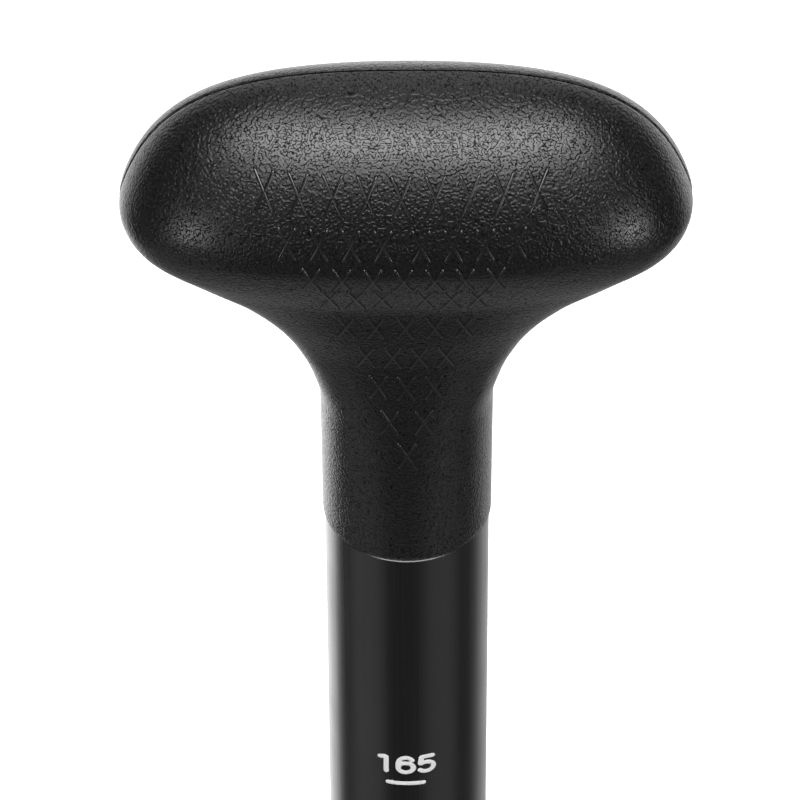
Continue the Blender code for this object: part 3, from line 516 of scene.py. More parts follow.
@dataclass(frozen=True)
class FilledNylon(Finish):
    """Glass-filled nylon: short fibres under a fine skin, with rubbed marks near the tip."""

    wander: Point = (0.06, 0.08)
    shades: Point = (0.8, 2.6)
    fibre: float = 0.0007
    fibre_run: float = 6.0
    fibre_bend: float = 0.4
    fibre_range: Point = (0.35, 0.7)
    fibre_tint: float = 0.35
    fibre_share: float = 0.6
    cloud: float = 0.030
    cloud_bend: float = 0.8
    skin: float = 0.00045
    skin_share: float = 0.5
    depth: float = 0.00003
    scratch: float = 0.0011
    scratch_run: float = 22.0
    scratch_range: Point = (0.60, 0.72)
    scratch_tint: float = 0.5
    rubbed_range: Point = (-1.64, -1.50)

    def paint(self, recipe: Recipe) -> None:
        """Fibres along the flow, cloudy gloss and light rubbing towards the tip."""
        fibres = recipe.noise(self.fibre, 3.0, self.fibre_bend, recipe.stretched(self.fibre_run))
        scratches = recipe.noise(self.scratch, 4.0, place=recipe.stretched(self.scratch_run))
        recipe.relief(recipe.weighed(fibres, self.fibre_share,
                                     recipe.noise(self.skin, detail=1.0), self.skin_share),
                      self.depth)
        z = recipe.add("ShaderNodeSeparateXYZ", {0: recipe.place}).outputs["Z"]
        rubbed = recipe.maths("MULTIPLY", recipe.spread(z, *self.rubbed_range, 1.0, 0.0),
                              recipe.spread(scratches, *self.scratch_range))
        self.tint(recipe, recipe.weighed(recipe.spread(fibres, *self.fibre_range),
                                         self.fibre_tint, rubbed, self.scratch_tint))
        self.gloss(recipe, recipe.noise(self.cloud, 3.0, self.cloud_bend))


@dataclass(frozen=True)
class TurnedSteel(Finish):
    """Stainless steel, turned and tumbled."""

    wander: Point = (0.03, 0.05)
    shades: Point = (0.95, 1.0)
    shade_range: Point = (0.25, 0.75)
    line: float = 0.00010
    cloud: float = 0.0011
    depth: float = 0.0000025

    def paint(self, recipe: Recipe) -> None:
        """Fine tool lines and a faintly cloudy gloss."""
        recipe.relief(recipe.noise(self.line), self.depth)
        self.clouds(recipe, recipe.noise(self.cloud, detail=3.0))


@dataclass(frozen=True)
class SoftRubber(Finish):
    """Matt moulded rubber."""

    wander: Point = (0.08, 0.08)
    shades: Point = (1.0, 1.6)
    shade_range: Point = (0.35, 0.75)
    dust: float = 0.0016
    grain: float = 0.0005
    depth: float = 0.00002

    def paint(self, recipe: Recipe) -> None:
        """A dusty, uneven skin."""
        recipe.relief(recipe.noise(self.grain), self.depth)
        self.clouds(recipe, recipe.noise(self.dust, detail=4.0))


@dataclass(frozen=True)
class CellFoam(Finish):
    """Closed-cell foam with bead-like cells."""

    shades: Point = (0.72, 1.0)
    bead: float = 0.0028
    joint: float = 0.28
    depth: float = 0.0002

    def paint(self, recipe: Recipe) -> None:
        """Rounded beads with darker joints."""
        bead = recipe.spread(recipe.cell_joints(self.bead), 0.0, self.joint)
        recipe.relief(bead, self.depth)
        self.tint(recipe, bead)


@dataclass(frozen=True)
class PrintInk(Finish):
    """Pad-printed ink with a little of the tube showing through."""

    wander: Point = (0.06, 0.06)
    shades: Point = (0.86, 1.0)
    shade_range: Point = (0.30, 0.42)
    cover: float = 0.0003

    def paint(self, recipe: Recipe) -> None:
        """Slightly uneven cover."""
        self.clouds(recipe, recipe.noise(self.cover, detail=3.0))


GRIP_SKIN = GrainedPlastic("grip grained plastic", Slot.GRIP, (0.0060, 0.0060, 0.0063), 0.30)
# The ridges are the grip's own plastic, coloured a little lighter than the grain round them as
# painted sheen, so that they read brighter.
RIDGES_PAINTED_LIGHTER = SparkedPlastic("grip smooth ridges", Slot.GRIP, (0.0065, 0.0065, 0.0068), 0.24,
                           depth=0.000004, shine=0.80)
TUBE_SKIN = AnodisedTube("black anodised tube", Slot.TUBE, (0.0036, 0.0036, 0.0038), 0.28)
CLAMP_SKIN = SparkedPlastic("clamp sparked plastic", Slot.CLAMP, (0.0120, 0.0120, 0.0126), 0.46)
INNER_SKIN = SparkedPlastic("inner moulded plastic", Slot.INNER, (0.0500, 0.0500, 0.0540), 0.52)
BLADE_SKIN = FilledNylon("blade filled nylon", Slot.BLADE, (0.0110, 0.0110, 0.0118), 0.42)
STEEL = TurnedSteel("turned stainless steel", Slot.STEEL, (0.62, 0.62, 0.64), 0.28, 1.0)
RUBBER = SoftRubber("matt rubber", Slot.RUBBER, (0.022, 0.022, 0.022), 0.78)
FOAM = CellFoam("closed cell foam", Slot.FOAM, (0.82, 0.82, 0.80), 0.88)
INK = PrintInk("white scale ink", Slot.TUBE, (0.94, 0.94, 0.94), 0.50)


# Mesh work


def mesh_from(bm: BMesh, name: str, crisp: float = 35.0) -> Mesh:
    """Close a bmesh into a smooth-shaded mesh that faces out.

    Args:
        bm: what is turned into a mesh; it is freed.
        name: the mesh's name.
        crisp: angle in degrees above which an edge stays sharp.

    Returns:
        The mesh.
    """
    bmesh.ops.remove_doubles(bm, verts=bm.verts, dist=TOUCHING)
    bmesh.ops.recalc_face_normals(bm, faces=bm.faces)
    mesh = bpy.data.meshes.new(name)
    bm.to_mesh(mesh)
    bm.free()
    mesh.shade_smooth()
    mesh.set_sharp_from_angle(angle=math.radians(crisp))
    return mesh


def skin(bm: BMesh, rows: Sequence[Sequence[BMVert]], closed: bool = True) -> None:
    """Make the faces between each row of vertices and the next.

    Args:
        bm: where they are made.
        rows: rows of as many vertices each, or of a single vertex at a pole.
        closed: whether the rows run all round.
    """
    for low, high in zip(rows, rows[1:]):
        count = max(len(low), len(high))
        for i in range(count if closed else count - 1):
            j = (i + 1) % count
            corners = (low[i % len(low)], low[j % len(low)],
                       high[j % len(high)], high[i % len(high)])
            bm.faces.new(tuple(dict.fromkeys(corners)))


def turned(profile: Sequence[Point], sides: int, place: Sequence[float], axis: str = "Z") -> BMesh:
    """Turn a profile about an axis.

    Args:
        profile: (radius, height) points from one pole to the other, or round a hollow ring.
        sides: number of steps round the axis.
        place: where the profile's origin goes.
        axis: X, Y or Z; height runs towards +X, -Y or +Z.

    Returns:
        A closed bmesh.
    """
    bm = bmesh.new()
    rings = []
    for radius, height in profile:
        count = 1 if radius < TOUCHING else sides
        angles = [math.tau * i / sides for i in range(count)]
        rings.append([bm.verts.new((radius * math.cos(a), radius * math.sin(a), height))
                      for a in angles])
    skin(bm, rings + rings[:1] if len(rings[0]) > 1 else rings)
    turns = {"X": Matrix.Rotation(QUARTER, 4, "Y"), "Y": Matrix.Rotation(QUARTER, 4, "X"),
             "Z": Matrix.Identity(4)}
    bm.transform(Matrix.Translation(place) @ turns[axis])
    return bm


def prism(outline: Sequence[Point], low: float, high: float, middle: Point = (0.0, 0.0)) -> BMesh:
    """Raise a flat outline into a closed block.

    Args:
        outline: (x, y) corners in order.
        low: lower height.
        high: upper height.
        middle: where the outline's own origin goes.

    Returns:
        A closed bmesh.
    """
    bm = bmesh.new()
    foot, head = ([bm.verts.new((x + middle[0], y + middle[1], z)) for x, y in outline]
                  for z in (low, high))
    bm.faces.new(foot[::-1])
    bm.faces.new(head)
    skin(bm, [foot, head])
    return bm


def rod(radius: float, length: float, middle: Sequence[float], axis: str = "Z",
        sides: int = 32) -> BMesh:
    """A plain closed rod that cuts a hole.

    Args:
        radius: its radius.
        length: its length.
        middle: its middle point.
        axis: X, Y or Z.
        sides: number of sides.

    Returns:
        A closed bmesh.
    """
    half = length / 2
    return turned([(0.0, half), (radius, half), (radius, -half), (0.0, -half)], sides, middle, axis)


def block(low: Sequence[float], high: Sequence[float]) -> BMesh:
    """A plain closed block between two corners, which cuts a slot."""
    outline = [(low[0], low[1]), (high[0], low[1]), (high[0], high[1]), (low[0], high[1])]
    return prism(outline, low[2], high[2])


def linked(name: str, data: bpy.types.ID) -> Object:
    """A new object of the scene that holds some data."""
    item = bpy.data.objects.new(name, data)
    bpy.context.scene.collection.objects.link(item)
    return item


def worked(mesh: Mesh, steps: Iterable[Step]) -> Mesh:
    """Run modifiers over a mesh.

    Args:
        mesh: what they start from.
        steps: functions that each add modifiers to the object that holds it.

    Returns:
        The plain result.
    """
    item = linked(mesh.name, mesh)
    for step in steps:
        step(item)
    bpy.context.view_layer.update()
    evaluated = item.evaluated_get(bpy.context.evaluated_depsgraph_get())
    result = bpy.data.meshes.new_from_object(evaluated)
    bpy.data.objects.remove(item)
    return result


def bevelled(width: float, segments: int = 4, least_angle: float = 32.0) -> Step:
    """A step that rounds the corners of a piece."""
    def add(item: Object) -> None:
        """Add the bevel."""
        bevel = item.modifiers.new("soft corners", "BEVEL")
        bevel.width = width
        bevel.segments = segments
        bevel.limit_method = "ANGLE"
        bevel.angle_limit = math.radians(least_angle)
    return add


def even_shading(item: Object) -> None:
    """A step that lets large faces lead the shading."""
    item.modifiers.new("even shading", "WEIGHTED_NORMAL").keep_sharp = True


def carved(*cutters: BMesh) -> Step:
    """A step that takes cutters away from a piece."""
    meshes = [mesh_from(cutter, "cutter") for cutter in cutters]

    def add(item: Object) -> None:
        """Add one boolean for each cutter."""
        for mesh in meshes:
            cutter = linked("cutter", mesh)
            cutter.hide_render = True
            boolean = item.modifiers.new("cut", "BOOLEAN")
            boolean.operation = "DIFFERENCE"
            boolean.solver = "EXACT"
            boolean.object = cutter
    return add


def crisp_cuts(mesh: Mesh, steps: Iterable[Step], crisp: float = 35.0, even: bool = True) -> Mesh:
    """Cut a piece and shade it anew, so that every cut has a clean edge.

    Args:
        mesh: what the steps start from.
        steps: functions that each add modifiers.
        crisp: angle in degrees above which an edge stays sharp.
        even: whether large faces lead the shading.

    Returns:
        The cut mesh.
    """
    result = worked(mesh, steps)
    result.shade_smooth()
    result.set_sharp_from_angle(angle=math.radians(crisp))
    return worked(result, [even_shading]) if even else result


def round_shading(mesh: Mesh, radii: Sequence[float]) -> Mesh:
    """Shade the walls of a tube about Z as truly round, whatever holes they carry.

    Args:
        mesh: the tube.
        radii: radii of its walls.

    Returns:
        The same mesh.
    """
    square_on, on_wall = 0.98, 0.00001
    normals = [Vector(corner.vector) for corner in mesh.corner_normals]
    for face in mesh.polygons:
        for place in face.loop_indices:
            spot = mesh.vertices[mesh.loops[place].vertex_index].co
            out = Vector((spot.x, spot.y, 0.0))
            facing = face.normal.dot(out.normalized())
            if abs(facing) > square_on and min(abs(out.length - r) for r in radii) < on_wall:
                normals[place] = out.normalized() * math.copysign(1.0, facing)
    mesh.normals_split_custom_set(normals)
    return mesh


def clear_cutters() -> None:
    """Remove the cutters once their cuts are plain mesh."""
    for item in [o for o in bpy.data.objects if o.name.startswith("cutter")]:
        bpy.data.objects.remove(item)


def dressed(name: str, mesh: Mesh, finish: Finish) -> Object:
    """Hang a finished mesh on an object with its surface."""
    mesh.name = name
    mesh.materials.clear()
    mesh.materials.append(finish.material())
    item = linked(name, mesh)
    return item


def fit_piece(name: str, mesh: Mesh, finish: Finish, body: Body,
              replaces: Sequence[str] = ()) -> Object:
    """Put a finished mesh on its body.

    Args:
        name: the piece's name.
        mesh: its mesh, already in place.
        finish: its surface.
        body: the body it rides on.
        replaces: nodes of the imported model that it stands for.

    Returns:
        The piece.
    """
    item = dressed(name, mesh, finish)
    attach(item, body.value)
    if replaces:
        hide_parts(*replaces)
    LOG.info("%s rides on %s with %d faces", name, body.value, len(mesh.polygons))
    return item


def fit_spring(name: str, mesh: Mesh, finish: Finish,
               replaces: Sequence[str]) -> None:
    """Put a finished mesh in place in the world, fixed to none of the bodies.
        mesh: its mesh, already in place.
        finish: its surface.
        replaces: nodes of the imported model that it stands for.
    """
    item = dressed(name, mesh, finish)
    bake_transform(item)
    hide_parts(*replaces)


def dress_node(node: str, finish: Finish) -> None:
    """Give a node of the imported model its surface."""
    slots = frame["nodes"][node].material_slots
    for place in slots:
        place.material = finish.material()
    if not slots:
        frame["nodes"][node].data.materials.append(finish.material())
    LOG.info("%s keeps its solid", node)


# Geometry Nodes


class Socket(Enum):
    """Kinds of named input that a tree takes."""

    LENGTH = "NodeSocketFloat"
    COUNT = "NodeSocketInt"
    OBJECT = "NodeSocketObject"
    MATERIAL = "NodeSocketMaterial"


class Rig(NodeTree):
    """One Geometry Nodes tree, built from nothing, with named inputs."""

    def __init__(self, name: str) -> None:
        """Start a tree that takes and gives geometry."""
        super().__init__(bpy.data.node_groups.new(name, "GeometryNodeTree"))
        for way in ("INPUT", "OUTPUT"):
            self.tree.interface.new_socket(name="Geometry", in_out=way,
                                           socket_type="NodeSocketGeometry")
        self.inlet = self.add("NodeGroupInput")
        self.outlet = self.add("NodeGroupOutput")
        self.identifiers: dict[str, str] = {}

    def ask(self, kind: Socket, *names: str) -> list[NodeSocket]:
        """Add named inputs of one kind and give their sockets."""
        for name in names:
            made = self.tree.interface.new_socket(name=name, in_out="INPUT", socket_type=kind.value)
            self.identifiers[name] = made.identifier
        return [self.inlet.outputs[name] for name in names]

    def give(self, kind: str, inputs: dict[str | int, object] | None = None,
             **settings: object) -> NodeSocket:
        """Add a node and give its first output."""
        return self.add(kind, inputs, **settings).outputs[0]

    def vector(self, x: object, y: object, z: object) -> NodeSocket:
        """Make a vector of three values."""
        return self.give("ShaderNodeCombineXYZ", {0: x, 1: y, 2: z})

    def half(self, length: NodeSocket, sign: float) -> NodeSocket:
        """Half of a length, with a sign of 1 or -1."""
        return self.maths("MULTIPLY", length, sign * 0.5)

    def line(self, start: NodeSocket, end: NodeSocket) -> NodeSocket:
        """A straight curve between two points."""
        return self.give("GeometryNodeCurvePrimitiveLine", {"Start": start, "End": end})

    def resampled(self, curve: NodeSocket, count: NodeSocket) -> NodeSocket:
        """A curve with evenly spaced points."""
        return self.give("GeometryNodeResampleCurve", {"Curve": curve, "Count": count})

    def circle(self, sides: NodeSocket, radius: object) -> NodeSocket:
        """A circle of a number of sides."""
        return self.give("GeometryNodeCurvePrimitiveCircle", {
            "Resolution": sides, "Radius": radius})

    def swept(self, path: NodeSocket, profile: NodeSocket, size: object = 1.0) -> NodeSocket:
        """Sweep a profile along a path, at a size that may change along it."""
        return self.give("GeometryNodeCurveToMesh", {
            "Curve": path, "Profile Curve": profile, "Scale": size, "Fill Caps": True})

    def moved(self, geometry: NodeSocket, place: NodeSocket) -> NodeSocket:
        """Move each point of a geometry to a place."""
        return self.give("GeometryNodeSetPosition", {"Geometry": geometry, "Position": place})

    def attribute(self, name: str) -> NodeSocket:
        """A number that the host holds for each point."""
        return self.add("GeometryNodeInputNamedAttribute", {"Name": name},
                        data_type="FLOAT").outputs["Attribute"]

    def copies(self, item: NodeSocket, size: object = (1.0, 1.0, 1.0)) -> NodeSocket:
        """One copy of an item at each point of the host."""
        return self.give("GeometryNodeInstanceOnPoints", {
            "Points": self.inlet.outputs[0], "Instance": item, "Scale": size})

    def round_ends(self, power: float, least: float) -> NodeSocket:
        """Size along a curve that closes to a least share in a round at both ends."""
        along = self.add("GeometryNodeSplineParameter").outputs["Factor"]
        out = self.maths("ABSOLUTE", self.maths("SUBTRACT", self.maths("MULTIPLY", along, 2.0),
                                                1.0))
        swell = self.maths("SQRT", self.maths("SUBTRACT", 1.0, self.maths("POWER", out, power)))
        return self.maths("ADD", self.maths("MULTIPLY", swell, 1.0 - least), least)

    def close(self, geometry: NodeSocket) -> "Rig":
        """Realise, shade and finish the geometry, end the tree and give it."""
        real = self.give("GeometryNodeRealizeInstances", {0: geometry})
        shade = self.give("GeometryNodeSetShadeSmooth", {"Geometry": real, "Shade Smooth": True})
        finish, = self.ask(Socket.MATERIAL, "Finish")
        painted = self.give("GeometryNodeSetMaterial", {"Geometry": shade, "Material": finish})
        self.put(painted, self.outlet.inputs[0])
        return self

    def run(self, host: Mesh, values: dict[str, object]) -> Mesh:
        """Run the tree over a mesh.

        Args:
            host: the mesh that it starts from.
            values: its inputs by name.

        Returns:
            The result as a plain mesh.
        """
        def add(item: Object) -> None:
            """Add the tree and set its inputs by identifier."""
            modifier = item.modifiers.new(self.tree.name, "NODES")
            modifier.node_group = self.tree
            for name, value in values.items():
                modifier[self.identifiers[name]] = value
        return worked(host, [add])


def points_mesh(points: Sequence[Sequence[float]], edges: Sequence[tuple[int, int]] = ()) -> Mesh:
    """A mesh of loose points and edges that a tree starts from."""
    mesh = bpy.data.meshes.new("host")
    mesh.from_pydata([tuple(p) for p in points], list(edges), [])
    return mesh


def ridge_rig() -> Rig:
    """Tree that lays a crossed pair of round ridges on a surface at each point.

    Returns:
        The tree; its host holds the middle points of the crosses, and the attribute "size"
        with the scale of each.
    """
    rig = Rig("crossed ridges")
    surface, = rig.ask(Socket.OBJECT, "Surface")
    tall, wide, radius, sink = rig.ask(Socket.LENGTH, "Cross height", "Cross width",
                                       "Ridge radius", "Sunk by")
    steps, sides = rig.ask(Socket.COUNT, "Steps", "Sides")
    left, right = rig.half(wide, -1.0), rig.half(wide, 1.0)
    low, high = rig.half(tall, -1.0), rig.half(tall, 1.0)
    cross = rig.add("GeometryNodeJoinGeometry")
    for start, end in ((low, high), (high, low)):
        rig.put(rig.line(rig.vector(left, 0.0, start), rig.vector(right, 0.0, end)),
                cross.inputs[0])
    fine = rig.resampled(cross.outputs[0], steps)
    real = rig.give("GeometryNodeRealizeInstances", {0: rig.copies(fine, rig.attribute("size"))})
    target = rig.add("GeometryNodeObjectInfo", {"Object": surface})
    here = rig.give("GeometryNodeInputPosition")
    before = 0.1
    ahead = rig.give("ShaderNodeVectorMath", {0: here, 1: (0.0, -before, 0.0)}, operation="ADD")
    cast = rig.add("GeometryNodeRaycast", {
        "Target Geometry": target.outputs["Geometry"], "Source Position": ahead,
        "Ray Direction": (0.0, 1.0, 0.0), "Ray Length": before * 2})
    sunk = rig.give("ShaderNodeVectorMath", {0: cast.outputs["Hit Normal"], "Scale": sink},
                    operation="SCALE")
    spot = rig.give("ShaderNodeVectorMath", {0: cast.outputs["Hit Position"], 1: sunk},
                    operation="SUBTRACT")
    laid = rig.moved(real, spot)
    return rig.close(rig.swept(laid, rig.circle(sides, radius), rig.round_ends(24.0, 0.2)))


def print_rig() -> Rig:
    """Tree that turns flat pen strokes into a thin print wrapped round a tube.

    Returns:
        The tree; its host holds strokes as edges, x round the tube and z up it, and the
        attribute "pen" with the share of the full width at each point.
    """
    rig = Rig("print round a tube")
    radius, width, thick = rig.ask(Socket.LENGTH, "Tube radius", "Stroke width", "Ink thickness")
    sides, = rig.ask(Socket.COUNT, "Sides")
    strokes = rig.give("GeometryNodeMeshToCurve", {0: rig.inlet.outputs[0]})
    upright = rig.give("GeometryNodeSetCurveNormal", {0: strokes}, mode="Z_UP")
    pen = rig.attribute("pen")
    x, y, _ = rig.add("ShaderNodeSeparateXYZ", {0: rig.give("GeometryNodeInputPosition")}).outputs
    flat = rig.vector(rig.maths("MULTIPLY", x, width), rig.maths("MULTIPLY", y, thick), 0.0)
    ribbon = rig.swept(upright, rig.moved(rig.circle(sides, 0.5), flat), pen)
    across, up, thickness = rig.add("ShaderNodeSeparateXYZ", {
        0: rig.give("GeometryNodeInputPosition")}).outputs
    turn = rig.maths("DIVIDE", across, radius)
    out = rig.maths("ADD", radius, thickness)
    side = rig.maths("MULTIPLY", out, rig.maths("SINE", turn))
    depth = rig.maths("MULTIPLY", rig.maths("MULTIPLY", out, rig.maths("COSINE", turn)), -1.0)
    return rig.close(rig.moved(ribbon, rig.vector(side, depth, up)))


def rib_rig() -> Rig:
    """Tree that stands a round-ended upright rib at each point.

    Returns:
        The tree; its host holds the middle points of the ribs.
    """
    rig = Rig("upright ribs")
    height, radius = rig.ask(Socket.LENGTH, "Rib height", "Rib radius")
    sides, steps = rig.ask(Socket.COUNT, "Sides", "Steps")
    line = rig.line(rig.vector(0.0, 0.0, rig.half(height, -1.0)),
                    rig.vector(0.0, 0.0, rig.half(height, 1.0)))
    bar = rig.swept(rig.resampled(line, steps), rig.circle(sides, radius),
                    rig.round_ends(10.0, 0.1))
    return rig.close(rig.copies(bar))


def turned_rig() -> Rig:
    """Tree that turns a closed profile about Z into a hollow ring or tube.

    Returns:
        The tree; its host holds the profile as a loop of edges, x out from the middle radius
        and y down.
    """
    rig = Rig("turned ring")
    radius, = rig.ask(Socket.LENGTH, "Middle radius")
    sides, = rig.ask(Socket.COUNT, "Sides")
    profile = rig.give("GeometryNodeMeshToCurve", {0: rig.inlet.outputs[0]})
    return rig.close(rig.swept(rig.circle(sides, radius), profile))


@dataclass(frozen=True)
class Rigs:
    """The trees that several sub-assemblies share."""

    crosses: Rig = field(default_factory=ridge_rig)
    prints: Rig = field(default_factory=print_rig)
    ribs: Rig = field(default_factory=rib_rig)
    rings: Rig = field(default_factory=turned_rig)

    def ring(self, profile: Sequence[Point], finish: Finish, sides: int = TUBE_SIDES) -> Mesh:
        """A hollow turned piece.

        Args:
            profile: (radius, height) corners round its wall.
            finish: its surface.
            sides: steps round the axis.

        Returns:
            Its mesh, smooth but for sharp corners.
        """
        middle = sum(radius for radius, _ in profile) / len(profile)
        points = [(radius - middle, -height, 0.0) for radius, height in profile]
        edges = [(i, (i + 1) % len(points)) for i in range(len(points))]
        mesh = self.rings.run(points_mesh(points, edges), {
            "Middle radius": middle, "Sides": sides, "Finish": finish.material()})
        bm = bmesh.new()
        bm.from_mesh(mesh)
        bpy.data.meshes.remove(mesh)
        return mesh_from(bm, "ring")

    def rib_set(self, points: Iterable[Point], z: float, height: float, radius: float) -> Mesh:
        """Upright ribs of clamp plastic, with their middles at (x, y) points of a height z."""
        return self.ribs.run(points_mesh([(x, y, z) for x, y in points]), {
            "Rib height": height, "Rib radius": radius, "Sides": 12, "Steps": 25,
            "Finish": CLAMP_SKIN.material()})


# Palm grip


@dataclass(frozen=True)
class CrossRow:
    """One row of crossed ridges on the grip's front."""

    count: int
    height: float
    pitch: float
    gap: float = 0.0
    shift: float = 0.0
    size: float = 1.0

    def points(self) -> list[tuple[float, float, float]]:
        """Middle points of the row's crosses, in the grip's frame."""
        spots = []
        for i in range(self.count):
            place = i - (self.count - 1) / 2
            extra = math.copysign(self.gap / 2, place) if place else 0.0
            spots.append((self.shift + place * self.pitch + extra, 0.0, RIM_Z + self.height))
        return spots


@dataclass
class PalmGrip:
    """Two moulded shells that meet in a parting line over the head, with crossed ridges."""

    rigs: Rigs
    crown: float = 0.0900
    collar: float = UPPER_TUBE_R + 0.00035
    half_width: float = 0.04323
    widest: float = 0.0652
    head_power: float = 1.634
    head_fullness: float = 0.977
    front_depth: float = 0.0189
    front_peak: float = 0.0664
    front_power: float = 1.60
    back_depth: float = 0.0144
    back_peak: float = 0.0562
    back_power: float = 1.89
    section_power: float = 2.63
    crown_power: float = 2.07
    wall: float = 0.0026
    lip: float = 0.00035
    lip_share: float = 0.2
    lip_steps: Sequence[float] = (0.3, 0.65, 1.0)
    rim_round: float = 0.00025
    core_seat: float = 0.0404
    core_top: float = 0.0455
    core_step: float = 0.0012
    throat_radius: float = 0.0100
    throat_top: float = 0.0500
    crown_flat: float = 0.0003
    columns: int = 132
    neck_rows: int = 64
    arch_rows: int = 46
    inner_columns: int = 48
    inner_neck_rows: int = 4
    inner_arch_rows: int = 8
    wing_flare: Sequence[Point] = (
        (0.00, 0.000), (0.40, 0.005), (0.52, 0.062), (0.62, 0.159), (0.71, 0.300),
        (0.79, 0.499), (0.86, 0.764), (0.92, 0.938), (0.965, 0.986), (1.00, 1.000))
    front_flare: Sequence[Point] = (
        (0.00, 0.00), (0.40, 0.04), (0.53, 0.07), (0.63, 0.12), (0.74, 0.30),
        (0.84, 0.46), (0.89, 0.655), (0.94, 0.85), (1.00, 1.00))
    cross_height: float = 0.0056
    cross_width: float = 0.0029
    ridge_radius: float = 0.00030
    ridge_sunk: float = 0.00010
    cross_rows: Sequence[CrossRow] = (
        CrossRow(9, 0.0779, 0.00506, shift=-0.0007, size=1.08),
        CrossRow(8, 0.0711, 0.00475, 0.0009, -0.0006, 0.94),
        CrossRow(7, 0.0648, 0.00458, shift=-0.0004, size=0.93),
        CrossRow(6, 0.0597, 0.00392, 0.0025, -0.0004, 0.98),
        CrossRow(5, 0.0522, 0.00444, shift=-0.0002, size=0.90),
        CrossRow(4, 0.0453, 0.00403, shift=-0.0001, size=0.97),
        CrossRow(3, 0.0382, 0.00430, shift=-0.0001, size=0.94),
        CrossRow(2, 0.0306, 0.00525, size=0.97), CrossRow(1, 0.0235, 0.0))

    def reach(self, height: float, inset: float, widest: float, peak: float, power: float,
              flare: Callable[[float], float]) -> float:
        """Distance of the surface from the axis in one direction.

        Args:
            height: height above the rim.
            inset: how far inside the surface.
            widest: the largest distance.
            peak: height at which it is reached.
            power: roundness above that height.
            flare: share of the way out at each share of that height.

        Returns:
            The distance.
        """
        if height < peak:
            return self.collar + (widest - self.collar) * flare(height / peak) - inset
        return (widest - inset) * arch(height, peak, self.crown - inset, power)

    def section(self, side: Side, height: float, inset: float = 0.0) -> Point:
        """Size of one half of the grip at a height above its rim.

        Args:
            side: front or back.
            height: the height.
            inset: how far inside the surface.

        Returns:
            Half width and depth.
        """
        climb = (height - self.widest) / (self.crown - self.widest)
        wide = self.reach(height, inset, self.half_width, self.widest,
                          self.head_power + self.head_fullness * climb,
                          partial(between, self.wing_flare))
        if side is Side.FRONT:
            return wide, self.reach(height, inset, self.front_depth, self.front_peak,
                                    self.front_power, partial(between, self.front_flare))
        return wide, self.reach(height, inset, self.back_depth, self.back_peak,
                                self.back_power, ease)

    def roundness(self, height: float) -> float:
        """Power of the section at a height: round at the rim and the crown, squarer between."""
        if height < self.widest:
            return 2.0 + (self.section_power - 2.0) * ease(height / self.widest)
        climb = ease((height - self.widest) / (self.crown - self.widest))
        return self.section_power + (self.crown_power - self.section_power) * climb

    def half_row(self, bm: BMesh, size: Point, height: float, side: Side,
                 columns: int, power: float, lip: float = 0.0) -> list[BMVert]:
        """Vertices round one side of the grip at one height.

        Args:
            bm: where they are made.
            size: half width and depth.
            height: height above the rim.
            side: front or back.
            columns: steps from edge to edge.
            power: roundness of the section.
            lip: radius of the soft edge along the parting line.

        Returns:
            The vertices from the -X edge to the +X edge.
        """
        wide, depth = size
        turns = [math.pi * i / columns for i in range(1, columns)]
        if lip > 0.0:
            small = min(lip, depth * self.lip_share)
            edge = [math.asin((small * share / depth) ** (power / 2)) for share in self.lip_steps]
            spread = math.pi - 2 * edge[-1]
            turns = edge + [edge[-1] + spread * i / columns for i in range(1, columns)]
            turns += [math.pi - turn for turn in edge[::-1]]
        row = []
        for turn in [0.0] + turns + [math.pi]:
            across = -math.cos(turn)
            outward = math.sin(turn) if 0.0 < turn < math.pi else 0.0
            x = wide * math.copysign(abs(across) ** (2 / power), across)
            y = depth * outward ** (2 / power)
            if lip > 0.0 and y < small:
                pulled = small * (1.0 - math.sqrt(max(1.0 - (1.0 - y / small) ** 2, 0.0)))
                x = math.copysign(abs(x) - pulled, x)
            row.append(bm.verts.new((x, side.value * (FIT / 2 + y), RIM_Z + height)))
        return row

    def shell(self, side: Side) -> Mesh:
        """One moulded half: its outer skin, its hollow and its parting face."""
        bm = bmesh.new()
        rise = self.crown - self.widest
        neck = [self.widest * i / self.neck_rows for i in range(1, self.neck_rows + 1)]
        head = [self.widest + rise * math.sin(QUARTER * i / self.arch_rows)
                for i in range(1, self.arch_rows)]
        heights = [self.rim_round] + neck + head + [self.crown - rise * self.crown_flat]
        outer = [self.half_row(bm, self.section(side, 0.0, self.rim_round), 0.0, side,
                               self.columns, self.roundness(0.0), self.lip)]
        outer += [self.half_row(bm, self.section(side, height), height, side, self.columns,
                                self.roundness(height), self.lip) for height in heights]
        apex = bm.verts.new((0.0, side.value * FIT / 2, RIM_Z + self.crown))
        bore = UPPER_TUBE_R - TUBE_WALL
        seat = bore + self.core_step
        inner = [self.half_row(bm, (r, r - FIT / 2), h, side, self.inner_columns, 2.0)
                 for h, r in ((0.0, bore), (self.core_seat, bore), (self.core_seat, seat),
                              (self.core_top, seat), (self.core_top, self.throat_radius),
                              (self.throat_top, self.throat_radius))]
        top = self.crown - self.wall
        risers = [self.throat_top + (self.widest - self.throat_top) * i / self.inner_neck_rows
                  for i in range(1, self.inner_neck_rows + 1)]
        risers += [self.widest + (top - self.widest) * math.sin(QUARTER * i / self.inner_arch_rows)
                   for i in range(1, self.inner_arch_rows)]
        for height in risers:
            wide, depth = self.section(side, height, self.wall)
            inner.append(self.half_row(bm, (wide, depth - FIT / 2), height, side,
                                       self.inner_columns, self.roundness(height)))
        hollow = bm.verts.new((0.0, side.value * FIT / 2, RIM_Z + top))
        for rows, tip in ((outer, apex), (inner, hollow)):
            skin(bm, rows + [[tip]], closed=False)
        bm.faces.new(outer[0] + inner[0][::-1])
        edge = [row[0] for row in outer] + [apex] + [row[-1] for row in outer][::-1]
        bm.faces.new(edge + [row[-1] for row in inner] + [hollow] + [row[0] for row in inner][::-1])
        return mesh_from(bm, "shell", crisp=50.0)

